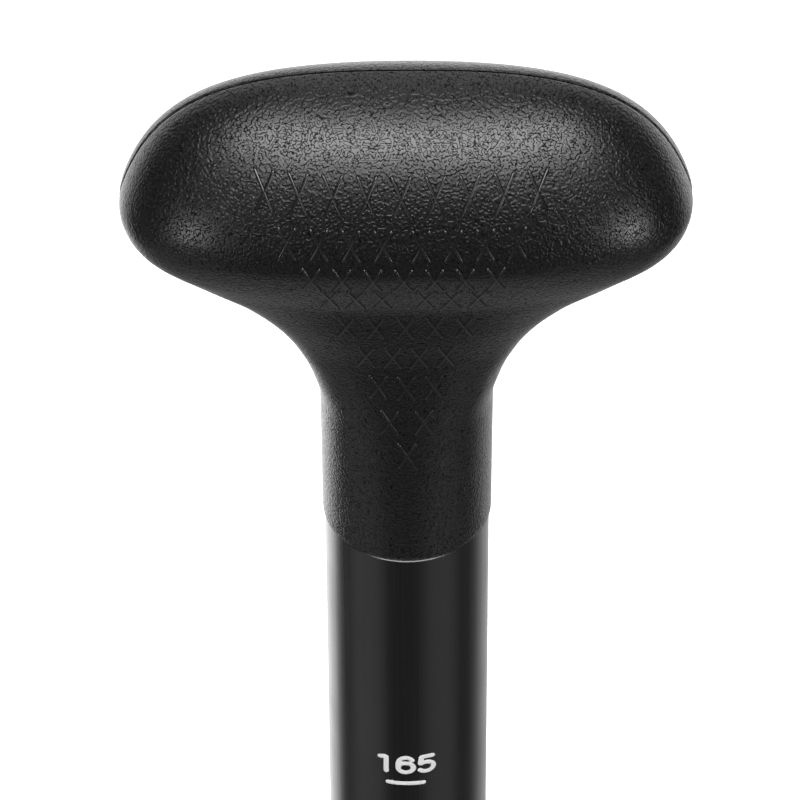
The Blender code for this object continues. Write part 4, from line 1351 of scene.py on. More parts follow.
    def crosses(self, front: Object) -> Mesh:
        """Crossed ridges laid over the front shell."""
        host = points_mesh([spot for row in self.cross_rows for spot in row.points()])
        sizes = [row.size for row in self.cross_rows for _ in range(row.count)]
        host.attributes.new("size", "FLOAT", "POINT").data.foreach_set("value", sizes)
        return self.rigs.crosses.run(host, {
            "Surface": front, "Cross height": self.cross_height, "Cross width": self.cross_width,
            "Ridge radius": self.ridge_radius, "Sunk by": self.ridge_sunk, "Steps": 22,
            "Sides": 8, "Finish": RIDGES_PAINTED_LIGHTER.material()})

    def build(self) -> None:
        """Make the shells and the ridges and dress the core."""
        front = fit_piece("grip_front", self.shell(Side.FRONT), GRIP_SKIN, Body.UPPER,
                          ["grip_front_shell"])
        fit_piece("grip_back", self.shell(Side.BACK), GRIP_SKIN, Body.UPPER, ["grip_back_shell"])
        fit_piece("grip_crosses", self.crosses(front), RIDGES_PAINTED_LIGHTER, Body.UPPER)
        dress_node("grip_core", INNER_SKIN)


# Upper tube with its length scale


class Figures:
    """Rounded figures drawn with one pen, each in a box one wide and one high."""

    @staticmethod
    def strokes(figure: str) -> list[list[Point]]:
        """Centre lines of one figure.

        Args:
            figure: a single digit.

        Returns:
            Its strokes as lists of (x, y), x from -0.5 to 0.5 and y from 0 to 1.
        """
        six = arc(0.5, 38, 180, 14, (0.0, 0.5)) + arc(0.5, 180, 540, 26, (0.0, 0.31), 0.62)
        shapes = {
            "0": [arc(0.5, 90, 450, 32, (0.0, 0.5))],
            "1": [[(-0.34, 0.90), (0.06, 0.985), (0.06, 0.5), (0.06, 0.0)]],
            "2": [arc(0.46, 165, -28, 18, (0.0, 0.70), 0.65) + [(-0.46, 0.0), (0.48, 0.0)]],
            "5": [[(0.40, 1.0), (-0.32, 1.0), (-0.40, 0.55)]
                  + arc(0.5, 128, -142, 22, (-0.02, 0.31), 0.62)],
            "6": [six],
            "7": [[(-0.46, 1.0), (0.46, 1.0), (0.1, 0.5), (-0.14, 0.0)]],
            "8": [arc(0.40, 90, 450, 24, (0.0, 0.765), 0.59),
                  arc(0.5, 90, 450, 28, (0.0, 0.265), 0.53)],
            "9": [[(-x, 1.0 - y) for x, y in six]],
        }
        return shapes[figure]


@dataclass
class UpperTube:
    """The grooved tube that slides in the clamp, printed with a length scale."""

    rigs: Rigs
    low: float = -0.6722
    broken_edge: float = 0.00025
    fold_round: float = 0.0003
    arc_steps: int = 150
    first_mark_below: float = 0.0522
    mark_step: float = 0.050
    mark_count: int = 11
    first_value: int = 165
    value_step: int = 5
    figure_width: float = 0.00250
    figure_height: float = 0.00350
    figure_pitch: float = 0.00340
    figure_above_mark: float = 0.00265
    stroke: float = 0.00092
    longest_step: float = 0.0005
    end_steps: Sequence[float] = (0.0, 0.06, 0.2, 0.45, 0.75)
    end_width: float = 0.03
    corner: float = 0.06
    ink: float = 0.00005
    mark_half_length: float = 0.0029
    print_shift: float = -0.00040

    def outline(self, radius: float, half: float, floor: float) -> list[Point]:
        """A circle folded in to a flat floor on its +Y side, with soft corners."""
        edge = math.degrees(math.asin(half / radius))
        round_part = arc(radius, 90 + edge, 450 - edge, self.arc_steps)
        fold = rounded([round_part[-1], (half, floor), (-half, floor), round_part[0]],
                       self.fold_round, loop=False)
        return round_part[1:-1] + fold

    def tube(self) -> Mesh:
        """The grooved tube with slightly broken end edges."""
        half = GROOVE_WIDTH / 2
        floor = UPPER_TUBE_R - GROOVE_DEPTH
        outer = self.outline(UPPER_TUBE_R, half, floor)
        inner = self.outline(UPPER_TUBE_R - TUBE_WALL, half + TUBE_WALL, floor - TUBE_WALL)
        high = RIM_Z - FIT
        shrink = 1.0 - self.broken_edge / UPPER_TUBE_R
        small = [(x * shrink, y * shrink) for x, y in outer]
        stations = [(outer, high - self.broken_edge), (outer, self.low + self.broken_edge),
                    (small, self.low), (inner, self.low), (inner, high), (small, high)]
        bm = bmesh.new()
        rings = [[bm.verts.new((x, y, z)) for x, y in loop] for loop, z in stations]
        skin(bm, rings + rings[:1])
        return mesh_from(bm, "tube", crisp=40.0)

    @staticmethod
    def closes(line: Sequence[Point]) -> bool:
        """Whether a stroke ends where it starts."""
        return math.dist(line[0], line[-1]) < TOUCHING

    def pen_line(self, points: Sequence[Point]) -> list[tuple[float, float, float]]:
        """Give a stroke round ends.

        Args:
            points: the stroke's centre line in metres.

        Returns:
            (x, z, share of the pen's width) for each point.
        """
        radius = self.stroke / 2
        line = [Vector(points[0])]
        for point in points[1:]:
            leg = Vector(point) - line[-1]
            pieces = max(math.ceil(leg.length / self.longest_step), 1)
            line += [line[-1] + leg * i / pieces for i in range(1, pieces + 1)]
        full = [(p, 1.0) for p in line]
        if not self.closes(points):
            head, tail = ([(end - (near - end).normalized() * radius * (1 - share),
                            max(math.sqrt(1 - (1 - share) ** 2), self.end_width))
                           for share in self.end_steps]
                          for end, near in ((line[0], line[1]), (line[-1], line[-2])))
            full = head + full + tail[::-1]
        return [(p.x, p.y, width) for p, width in full]

    def scale_print(self) -> Mesh:
        """Figures and a line under each, wrapped round the tube."""
        points: list[tuple[float, float, float]] = []
        pens: list[float] = []
        edges: list[tuple[int, int]] = []
        for mark in range(self.mark_count):
            z = RIM_Z - self.first_mark_below - mark * self.mark_step
            lines = [[(self.print_shift - self.mark_half_length, z), (self.print_shift, z),
                      (self.print_shift + self.mark_half_length, z)]]
            value = str(self.first_value + mark * self.value_step)
            for place, figure in enumerate(value):
                middle = self.print_shift + (place - 1) * self.figure_pitch
                for stroke in Figures.strokes(figure):
                    lines.append([(middle + x * self.figure_width,
                                   z + self.figure_above_mark + y * self.figure_height)
                                  for x, y in rounded(stroke, self.corner, loop=False)])
            for line in lines:
                closed = self.closes(line)
                pen = self.pen_line(line)[:-1] if closed else self.pen_line(line)
                start = len(points)
                points += [(x, y, 0.0) for x, y, _ in pen]
                pens += [width for _, _, width in pen]
                edges += [(start + i, start + i + 1) for i in range(len(pen) - 1)]
                if closed:
                    edges.append((len(points) - 1, start))
        host = points_mesh(points, edges)
        host.attributes.new("pen", "FLOAT", "POINT").data.foreach_set("value", pens)
        return self.rigs.prints.run(host, {
            "Tube radius": UPPER_TUBE_R, "Stroke width": self.stroke, "Ink thickness": self.ink,
            "Sides": 10, "Finish": INK.material()})

    def build(self) -> None:
        """Make the tube and its print and dress the bush in its end."""
        fit_piece("printed_tube", self.tube(), TUBE_SKIN, Body.UPPER, ["upper_tube"])
        fit_piece("length_scale", self.scale_print(), INK, Body.UPPER)
        dress_node("upper_end_bush", INNER_SKIN)
        dress_node("bush_seal_ring", RUBBER)


# Clamp


@dataclass
class Clamp:
    """Split collar, cam lever and their screw, at the top of the middle tube."""

    rigs: Rigs
    height: float = 0.034
    wall: float = 0.0032
    split: float = 0.0030
    ear_thick: float = 0.0060
    ear_reach: float = 0.0120
    screw_radius: float = 0.0025
    head_radius: float = 0.00425
    head_height: float = 0.0045
    socket_radius: float = 0.0023
    socket_depth: float = 0.0025
    metal_round: float = 0.0005
    washer_round: float = 0.0002
    washer_thick: float = 0.0010
    washer_radius: float = 0.0050
    saddle_thick: float = 0.0018
    barrel_radius: float = 0.0040
    past_pivot: float = 0.0028
    cam_radius: float = 0.0064
    cam_lift: float = 0.0009
    lever_height: float = 0.020
    lever_thick: float = 0.0044
    lever_clear: float = 0.0007
    cam_arc: Point = (190.0, 450.0)
    wrap: Point = (85.0, 188.0)
    band_steps: int = 110
    corner_steps: int = 8
    mouth_steps: int = 96
    cam_steps: int = 40
    arm_steps: int = 60
    tip_steps: int = 12
    lift_from: float = 158.0
    tip_lift: float = 0.0035
    fork: float = 0.0064
    band_round: float = 0.0010
    lever_round: float = 0.0011
    ear_corner: float = 0.0025
    band_rib_arc: Point = (206.0, 326.0)
    band_ribs: int = 17
    band_rib_less: float = 0.0105
    band_rib_radius: float = 0.00065
    band_rib_sunk: float = 0.00025
    thumb_rib_arc: Point = (161.0, 185.0)
    thumb_ribs: int = 7
    thumb_rib_less: float = 0.0045
    thumb_rib_radius: float = 0.00062
    thumb_rib_sunk: float = 0.0003

    @property
    def radius(self) -> float:
        """Outer radius of the collar."""
        return SLEEVE_BORE + self.wall

    @property
    def middle_z(self) -> float:
        """Height of the collar's middle."""
        return CLAMP_TOP_Z - self.height / 2

    @property
    def screw_x(self) -> float:
        """Distance of the screw from the shaft's axis."""
        return self.radius + self.ear_reach / 2

    @property
    def ear_face(self) -> float:
        """Distance of the ears' outer faces from the split's middle."""
        return self.split / 2 + self.ear_thick

    @property
    def pivot_y(self) -> float:
        """Distance of the lever's pivot from the split's middle."""
        return self.ear_face + FIT + self.saddle_thick + FIT + self.cam_radius + self.cam_lift

    def collar(self) -> Mesh:
        """The split collar with its ears, bore and key."""
        root = math.degrees(math.asin(self.ear_face / self.radius))
        reach = self.radius + self.ear_reach
        corner = self.ear_corner
        outline = arc(self.radius, root, 360 - root, self.band_steps)
        outline += arc(corner, -90, 0, self.corner_steps, (reach - corner, -self.ear_face + corner))
        outline += arc(corner, 0, 90, self.corner_steps, (reach - corner, self.ear_face - corner))
        low = CLAMP_TOP_Z - self.height
        seat = CLAMP_TOP_Z - CLAMP_LIP
        half = GROOVE_WIDTH / 2 - FIT
        floor = UPPER_TUBE_R - GROOVE_DEPTH + FIT
        edge = math.degrees(math.asin(half / MAIN_BORE))
        mouth = arc(MAIN_BORE, 90 + edge, 450 - edge, self.mouth_steps)
        mouth += [(half, floor), (-half, floor)]
        length = seat - low + PAST
        cutters = (
            rod(SLEEVE_BORE, length, (0.0, 0.0, seat - length / 2), sides=TUBE_SIDES),
            prism(mouth, seat - PAST, CLAMP_TOP_Z + PAST),
            block((0.0, -self.split / 2, low - PAST),
                  (self.screw_x * 2, self.split / 2, CLAMP_TOP_Z + PAST)),
            rod(self.screw_radius + FIT, self.ear_face * 4, (self.screw_x, 0.0, self.middle_z),
                "Y"))
        mesh = mesh_from(prism(outline, low, CLAMP_TOP_Z), "collar")
        return crisp_cuts(mesh, [bevelled(self.band_round), carved(*cutters)])

    def collar_ribs(self) -> Mesh:
        """Finger ribs over the collar's front."""
        points = arc(self.radius - self.band_rib_sunk, *self.band_rib_arc, self.band_ribs - 1)
        return self.rigs.rib_set(points, self.middle_z, self.height - self.band_rib_less,
                                 self.band_rib_radius)

    def arm_radius(self, angle: float) -> float:
        """Inner radius of the lever's arm at an angle in degrees about the shaft."""
        share = (angle - self.lift_from) / (self.wrap[1] - self.lift_from)
        return self.radius + self.lever_clear + self.tip_lift * ease(share)

    def lever(self) -> Mesh:
        """The cam and the arm that wraps round the collar's back."""
        pivot = Vector((self.screw_x, self.pivot_y))
        outline = arc(self.cam_radius, *self.cam_arc, self.cam_steps, (0.0, -self.cam_lift))
        first, last = self.wrap
        angles = [first + (last - first) * i / self.arm_steps for i in range(self.arm_steps + 1)]
        spots = [(Vector(about(1.0, angle)), self.arm_radius(angle)) for angle in angles]
        outer = [way * (r + self.lever_thick) - pivot for way, r in spots]
        inner = [way * r - pivot for way, r in spots[::-1]]
        way, r = spots[-1]
        tip_middle = way * (r + self.lever_thick / 2) - pivot
        tip = arc(self.lever_thick / 2, last, last + 180, self.tip_steps, tuple(tip_middle))[1:-1]
        outline += [tuple(p) for p in outer] + tip + [tuple(p) for p in inner]
        low = self.middle_z - self.lever_height / 2
        high = self.middle_z + self.lever_height / 2
        reach = self.cam_radius + self.cam_lift + PAST
        cutters = (
            rod(self.barrel_radius + FIT, self.lever_height * 2, (pivot.x, pivot.y, self.middle_z),
                sides=SMALL_SIDES),
            block((pivot.x - self.screw_radius - 3 * FIT, pivot.y - reach,
                   self.middle_z - self.fork / 2),
                  (pivot.x + reach, pivot.y + reach, self.middle_z + self.fork / 2)))
        mesh = mesh_from(prism(outline, low, high, (pivot.x, pivot.y)), "lever")
        return crisp_cuts(mesh, [bevelled(self.lever_round), carved(*cutters)])

    def lever_ribs(self) -> Mesh:
        """Thumb ribs across the lever's free end."""
        first, last = self.thumb_rib_arc
        points = []
        for i in range(self.thumb_ribs):
            angle = first + (last - first) * i / (self.thumb_ribs - 1)
            out = self.arm_radius(angle) + self.lever_thick - self.thumb_rib_sunk
            points.append(about(out, angle))
        return self.rigs.rib_set(points, self.middle_z, self.lever_height - self.thumb_rib_less,
                                 self.thumb_rib_radius)

    def screw(self) -> Mesh:
        """The socket-head screw through the ears."""
        head_y = -self.ear_face - FIT - self.washer_thick - FIT
        shank = self.pivot_y + self.past_pivot - head_y
        profile = rounded([(0.0, self.head_height), (self.head_radius, self.head_height),
                           (self.head_radius, 0.0), (self.screw_radius, 0.0),
                           (self.screw_radius, -shank), (0.0, -shank)],
                          self.metal_round, 4, loop=False)
        bm = turned(profile, SMALL_SIDES, (self.screw_x, head_y, self.middle_z), "Y")
        socket = rod(self.socket_radius, self.socket_depth * 2,
                     (self.screw_x, head_y - self.head_height, self.middle_z), "Y", 6)
        return crisp_cuts(mesh_from(bm, "screw"), [carved(socket)])

    def washer(self) -> Mesh:
        """The washer under the screw's head."""
        bore = self.screw_radius + FIT
        profile = rounded([(self.washer_radius, self.washer_thick), (self.washer_radius, 0.0),
                           (bore, 0.0), (bore, self.washer_thick)], self.washer_round)
        place = (self.screw_x, -self.ear_face - FIT, self.middle_z)
        return mesh_from(turned(profile, ROUND_SIDES, place, "Y"), "washer")

    def barrel(self) -> Mesh:
        """The cross barrel that the lever turns on, bored for the screw's end."""
        half = self.lever_height / 2
        profile = rounded([(0.0, half), (self.barrel_radius, half), (self.barrel_radius, -half),
                           (0.0, -half)], self.metal_round, 4, loop=False)
        place = (self.screw_x, self.pivot_y, self.middle_z)
        mesh = mesh_from(turned(profile, ROUND_SIDES, place), "barrel")
        depth = self.barrel_radius + self.past_pivot + FIT
        hole = rod(self.screw_radius + FIT, depth * 2,
                   (self.screw_x, self.pivot_y + self.past_pivot + FIT - depth, self.middle_z), "Y")
        return crisp_cuts(mesh, [carved(hole)])

    def build(self) -> None:
        """Make the clamp's pieces and dress its saddle."""
        fit_piece("clamp_band", self.collar(), CLAMP_SKIN, Body.LOWER, ["clamp_collar"])
        fit_piece("clamp_band_ribs", self.collar_ribs(), CLAMP_SKIN, Body.LOWER)
        fit_piece("cam_lever", self.lever(), CLAMP_SKIN, Body.LEVER, ["clamp_lever"])
        fit_piece("cam_lever_ribs", self.lever_ribs(), CLAMP_SKIN, Body.LEVER)
        fit_piece("socket_screw", self.screw(), STEEL, Body.LOWER, ["clamp_screw"])
        fit_piece("plain_washer", self.washer(), STEEL, Body.LOWER, ["screw_washer"])
        fit_piece("cross_barrel", self.barrel(), STEEL, Body.LOWER, ["lever_barrel"])
        dress_node("cam_saddle", CLAMP_SKIN)


# Shaft below the clamp


@dataclass
class Shaft:
    """Middle and lower tubes, the rings and button at their joint, and what is inside."""

    rigs: Rigs
    slit_width: float = 0.0020
    slit_length: float = 0.034
    relief_radius: float = 0.0020
    ring_wall: float = 0.0022
    ring_height: float = 0.020
    ring_lip: float = 0.0015
    ring_taper: Point = (0.0012, 0.0025)
    ring_chamfer: float = 0.0008
    ring_round: float = 0.0005
    ring_ribs_count: int = 28
    ring_rib_middle: float = 0.46
    ring_rib_share: float = 0.62
    ring_rib_radius: float = 0.00060
    ring_rib_sunk: float = 0.0002
    tube_edge: float = 0.0003
    rivet_above: float = 0.040
    rivet_radius: float = 0.0020
    rivet_head: float = 1.8
    rivet_dome: float = 0.6
    rivet_edge: float = 0.12
    dome_steps: int = 12
    blade_rivet_radius: float = 0.0024
    button_below: float = 0.030
    button_radius: float = 0.0040
    button_proud: float = 0.0027
    button_face: float = 0.0022
    flange_radius: float = 0.0060
    flange_thick: float = 0.0014
    button_round: float = 0.0003
    spigot_bore: float = MAIN_BORE - FIT - 0.0020
    strip_width: float = 0.0080
    strip_thick: float = 0.0005
    strip_bend: float = 0.0036
    front_leg: float = 0.0060
    fold_height: float = 0.0285
    back_leg: Point = (0.0020, 0.0120)
    free_from: tuple[float, float, float] = (0.0, -0.0130, -0.0050)

    @property
    def seat(self) -> float:
        """How far from the axis the button's flange bears on the spigot's round bore."""
        return math.sqrt((self.spigot_bore - FIT) ** 2 - self.flange_radius ** 2)

    @property
    def button_z(self) -> float:
        """Height of the button's middle."""
        return JOINT_Z - self.button_below

    def tube(self, high: float, low: float, *cutters: BMesh) -> Mesh:
        """A round tube with broken edges and its holes.

        Args:
            high: its upper end.
            low: its lower end.
            cutters: what is cut out of it.

        Returns:
            Its mesh.
        """
        profile = rounded([(MAIN_TUBE_R, high), (MAIN_TUBE_R, low), (MAIN_BORE, low),
                           (MAIN_BORE, high)], self.tube_edge, 2)
        cut = crisp_cuts(self.rigs.ring(profile, TUBE_SKIN), [carved(*cutters)], even=False)
        return round_shading(cut, (MAIN_TUBE_R, MAIN_BORE))

    def middle_tube(self) -> Mesh:
        """The tube under the clamp, slit so that the clamp can squeeze it."""
        high = CLAMP_TOP_Z - CLAMP_LIP - FIT
        foot = high - self.slit_length
        return self.tube(
            high, JOINT_Z + FIT / 2 + self.ring_lip + FIT,
            block((0.0, -self.slit_width / 2, foot),
                  (MAIN_TUBE_R * 2, self.slit_width / 2, high + PAST)),
            rod(self.relief_radius, MAIN_TUBE_R, (MAIN_TUBE_R, 0.0, foot), "X"),
            rod(self.rivet_radius + FIT, MAIN_TUBE_R * 3, (0.0, 0.0, JOINT_Z + self.rivet_above),
                "X"))

    def lower_tube(self, low: float, rivet_z: float) -> Mesh:
        """The tube above the blade, with the button's and the rivet's holes."""
        return self.tube(
            JOINT_Z - FIT / 2 - self.ring_lip - FIT, low,
            rod(self.blade_rivet_radius + FIT, MAIN_TUBE_R * 3, (0.0, 0.0, rivet_z), "X"),
            rod(self.button_radius + FIT, MAIN_TUBE_R,
                (0.0, -MAIN_TUBE_R, self.button_z), "Y", SMALL_SIDES))

    def joint_ring(self, up: float) -> Mesh:
        """One of the two moulded rings that meet at the joint.

        Args:
            up: 1 for the ring above the joint and -1 for the one below.

        Returns:
            Its mesh.
        """
        outer = SLEEVE_BORE + self.ring_wall
        low, high = FIT / 2, FIT / 2 + self.ring_height
        in_by, down_by = self.ring_taper
        corners = [(outer - in_by, high), (outer, high - down_by),
                   (outer, low + self.ring_chamfer), (outer - self.ring_chamfer, low),
                   (MAIN_BORE, low), (MAIN_BORE, low + self.ring_lip),
                   (SLEEVE_BORE, low + self.ring_lip), (SLEEVE_BORE, high)]
        profile = rounded([(r, JOINT_Z + up * h) for r, h in corners], self.ring_round)
        return self.rigs.ring(profile, CLAMP_SKIN)

    def ring_ribs(self, up: float) -> Mesh:
        """Grip ribs round one ring."""
        out = SLEEVE_BORE + self.ring_wall - self.ring_rib_sunk
        middle = JOINT_Z + up * (FIT / 2 + self.ring_height * self.ring_rib_middle)
        return self.rigs.rib_set(arc(out, 0, 360, self.ring_ribs_count)[:-1], middle,
                                 self.ring_height * self.ring_rib_share, self.ring_rib_radius)

    def button(self) -> Mesh:
        """The snap button with its flange and rounded nose."""
        nose = MAIN_TUBE_R + self.button_proud - self.seat
        edge = self.button_radius - self.button_face
        curve = arc(edge, 90, 0, 10, (self.button_face, nose - edge))
        profile = [(0.0, nose)] + curve + rounded(
            [(self.button_radius, nose - edge), (self.button_radius, 0.0),
             (self.flange_radius, 0.0), (self.flange_radius, -self.flange_thick),
             (0.0, -self.flange_thick)], self.button_round, loop=False)[1:]
        place = (0.0, -self.seat, self.button_z)
        return mesh_from(turned(profile, ROUND_SIDES, place, "Y"), "button")

    def leaf_spring(self) -> None:
        """The folded strip that pushes the button out, its back leg against the spigot."""
        half_wide, half = self.strip_width / 2, self.strip_thick / 2
        front = -self.seat + self.flange_thick + FIT + half
        back = math.sqrt((self.spigot_bore - FIT) ** 2 - half_wide ** 2) - half
        foot, knee = self.back_leg
        path = rounded([(front, -self.front_leg), (front, self.front_leg),
                        ((front + back) / 2, self.fold_height), (back, knee), (back, foot)],
                       self.strip_bend, 12, loop=False)
        bm = bmesh.new()
        rows = []
        for before, here, after in zip(path[:1] + path, path, path[1:] + path[-1:]):
            along = (Vector(after) - Vector(before)).normalized() * half
            rows.append([bm.verts.new((x, here[0] + side * along.y,
                                       self.button_z + here[1] - side * along.x))
                         for x, side in ((-half_wide, 1), (half_wide, 1), (half_wide, -1),
                                         (-half_wide, -1))])
        skin(bm, rows)
        bm.faces.new(rows[0])
        bm.faces.new(rows[-1])
        fit_spring("leaf_spring", mesh_from(bm, "spring"), STEEL,
                   ["button_spring"])

    def rivet(self, radius: float, reach: float, z: float) -> Mesh:
        """A through rivet along X with domed heads.

        Args:
            radius: radius of its shank.
            reach: distance from the axis at which its heads sit.
            z: its height.

        Returns:
            Its mesh.
        """
        head_radius, head = radius * self.rivet_head, radius * self.rivet_dome
        seat = reach + FIT
        steps = self.dome_steps
        dome = [(head_radius * math.sin(QUARTER * i / steps),
                 seat + head * math.cos(QUARTER * i / steps)) for i in range(steps)]
        upper = dome + [(head_radius, seat + head * self.rivet_edge), (head_radius, seat),
                        (radius, seat)]
        profile = upper + [(r, -h) for r, h in upper[::-1]]
        return mesh_from(turned(profile, SMALL_SIDES, (0.0, 0.0, z), "X"), "rivet")

    def build(self, socket_seat: float, blade_rivet_z: float) -> None:
        """Make the shaft's pieces.

        Args:
            socket_seat: height of the seat in the blade's socket.
            blade_rivet_z: height of the blade's rivet.
        """
        fit_piece("slit_tube", self.middle_tube(), TUBE_SKIN, Body.LOWER, ["middle_tube"])
        fit_piece("blade_tube", self.lower_tube(socket_seat + FIT, blade_rivet_z), TUBE_SKIN,
                  Body.LOWER, ["lower_tube"])
        for up, name, node in ((1.0, "ring_above_joint", "middle_ferrule"),
                               (-1.0, "ring_below_joint", "lower_ferrule")):
            fit_piece(name, self.joint_ring(up), CLAMP_SKIN, Body.LOWER, [node])
            fit_piece(name + "_ribs", self.ring_ribs(up), CLAMP_SKIN, Body.LOWER)
        fit_piece("push_button", self.button(), STEEL, Body.BUTTON, ["snap_button"])
        self.leaf_spring()
        fit_piece("joint_rivet", self.rivet(self.rivet_radius, MAIN_TUBE_R,
                                            JOINT_Z + self.rivet_above),
                  STEEL, Body.LOWER, ["spigot_rivet"])
        dress_node("joint_spigot", INNER_SKIN)
        dress_node("spigot_bung", RUBBER)
        dress_node("float_plug", FOAM)


# Blade


@dataclass
class Blade:
    """The raked blade: a socket that opens through a spine into a thin plate."""

    shaft: Shaft
    tip_z: float = -1.6300
    length: float = 0.430
    half_width: float = 0.100
    rake: float = math.radians(10)
    widest: float = 0.285
    tip_power: float = 3.0
    socket_wall: float = 0.0025
    socket_length: float = 0.055
    socket_seat: float = 0.005
    socket_lip: float = 0.0008
    lip_rows: Sequence[float] = (0.0, 0.0002, 0.0005, 0.0008)
    neck_blend: float = 0.110
    spine_length: float = 0.330
    spine_half: float = 0.021
    spine_front: float = 0.55
    spine_power: float = 1.7
    plate_half: float = 0.0021
    plate_power: float = 6.0
    edge_crowding: float = 0.45
    rivet_above: float = 0.030
    columns: int = 44
    body_rows: int = 84
    tip_rows: int = 40
    flare: Sequence[Point] = (
        (0.00, 0.000), (0.10, 0.020), (0.22, 0.120), (0.36, 0.370),
        (0.53, 0.665), (0.70, 0.870), (0.87, 0.980), (1.00, 1.000))

    @property
    def socket_radius(self) -> float:
        """Outer radius of the socket."""
        return SLEEVE_BORE + self.socket_wall

    def half_width_at(self, along: float) -> float:
        """Half width at a distance below the bend."""
        if along <= 0.0:
            return self.socket_radius
        if along < self.widest:
            share = between(self.flare, along / self.widest)
            return self.socket_radius + (self.half_width - self.socket_radius) * share
        share = (along - self.widest) / (self.length - self.widest)
        return self.half_width * math.sqrt(max(1.0 - share ** self.tip_power, 0.0))

    def thickness(self, along: float, across: float, side: int) -> float:
        """Distance from the middle surface to a face.

        Args:
            along: distance below the bend.
            across: share of the half width, from -1 to 1.
            side: 1 for the back and -1 for the front.

        Returns:
            The distance.
        """
        roundness = 1.0 - ease(along / self.neck_blend)
        plate = self.plate_half * math.sqrt(max(1.0 - across ** self.plate_power, 0.0))
        left = max(1.0 - max(along, 0.0) / self.spine_length, 0.0)
        height = (self.socket_radius - self.plate_half) * left ** self.spine_power
        if side < 0:
            height *= self.spine_front + (1 - self.spine_front) * roundness
        reach = min(abs(across) * self.half_width_at(along) / self.spine_half, 1.0)
        spine = height * (1.0 + math.cos(math.pi * reach)) / 2
        tube = self.socket_radius * math.sqrt(max(1.0 - across ** 2, 0.0))
        return roundness * tube + (1.0 - roundness) * (plate + spine)

    def path(self, stations: Sequence[float]) -> dict[float, tuple[float, float, float]]:
        """Place (y, z) and lean of the middle line at each distance below the bend."""
        places: dict[float, tuple[float, float, float]] = {}
        y = z = previous = 0.0
        pieces = 8
        for along in sorted(s for s in stations if s >= 0.0):
            step = (along - previous) / pieces
            for i in range(pieces):
                lean = self.rake * ease((previous + step * (i + 0.5)) / self.neck_blend)
                y += step * math.sin(lean)
                z -= step * math.cos(lean)
            previous = along
            places[along] = (y, z, self.rake * ease(along / self.neck_blend))
        for along in stations:
            if along < 0.0:
                places[along] = (0.0, -along, 0.0)
        return places

    def stations(self) -> list[float]:
        """Distances from the bend to each section, closer together towards the tip."""
        top = -self.socket_length
        socket = [top + row for row in self.lip_rows] + [top / 2, 0.0]
        body = [self.widest * i / self.body_rows for i in range(1, self.body_rows + 1)]
        reach = self.length - self.widest
        tip = [self.widest + reach * math.sin(QUARTER * i / self.tip_rows)
               for i in range(1, self.tip_rows + 1)]
        return socket + body + tip

    def mesh(self) -> tuple[BMesh, float]:
        """The blade's closed skin, before its socket is bored.

        Returns:
            The bmesh and the height of the bend.
        """
        stations = self.stations()
        path = self.path(stations)
        bend = self.tip_z - path[stations[-1]][1]
        crowding = self.edge_crowding
        shares = [i / self.columns for i in range(-self.columns, self.columns + 1)]
        bm = bmesh.new()
        rings = []
        for along in stations[:-1]:
            y, z, lean = path[along]
            wide = self.half_width_at(along)
            into = max(self.socket_lip - (along - stations[0]), 0.0)
            shrink = self.socket_lip - math.sqrt(max(self.socket_lip ** 2 - into ** 2, 0.0))
            roundness = 1.0 - ease(along / self.neck_blend)
            across = [roundness * math.sin(QUARTER * s) + (1.0 - roundness)
                      * math.sin(QUARTER * s) * (1.0 - crowding + crowding * abs(s))
                      for s in shares]
            ring = []
            for side, run in ((1, across), (-1, across[-2:0:-1])):
                for u in run:
                    thick = side * (self.thickness(along, u, side) - shrink * (1 - abs(u)))
                    ring.append(bm.verts.new((u * (wide - shrink), y + thick * math.cos(lean),
                                              bend + z + thick * math.sin(lean))))
            rings.append(ring)
        skin(bm, rings)
        bm.faces.new(rings[0])
        y, z, _ = path[stations[-1]]
        tip = bm.verts.new((0.0, y, bend + z))
        skin(bm, [rings[-1], [tip]])
        return bm, bend

    def build(self) -> None:
        """Make the blade and its rivet, and the shaft that enters its socket."""
        bm, bend = self.mesh()
        seat = bend + self.socket_seat
        bore = bend + self.socket_length + PAST - seat
        rivet_z = bend + self.rivet_above
        rivet_radius = self.shaft.blade_rivet_radius
        cutters = (
            rod(SLEEVE_BORE, bore, (0.0, 0.0, seat + bore / 2), sides=96),
            rod(rivet_radius + FIT, self.socket_radius * 3, (0.0, 0.0, rivet_z), "X"))
        mesh = crisp_cuts(mesh_from(bm, "blade"), [carved(*cutters)], 45.0, even=False)
        fit_piece("moulded_blade", mesh, BLADE_SKIN, Body.LOWER, ["blade"])
        fit_piece("socket_rivet", self.shaft.rivet(rivet_radius, self.socket_radius, rivet_z),
                  STEEL, Body.LOWER, ["blade_rivet"])
        self.shaft.build(seat, rivet_z)


# Studio


@dataclass(frozen=True)
class Softbox:
    """A soft patch of light in the sky of the studio, in degrees about the paddle."""

    azimuth: float
    elevation: float
    half_wide: float
    half_high: float
    soft: float
    strength: float


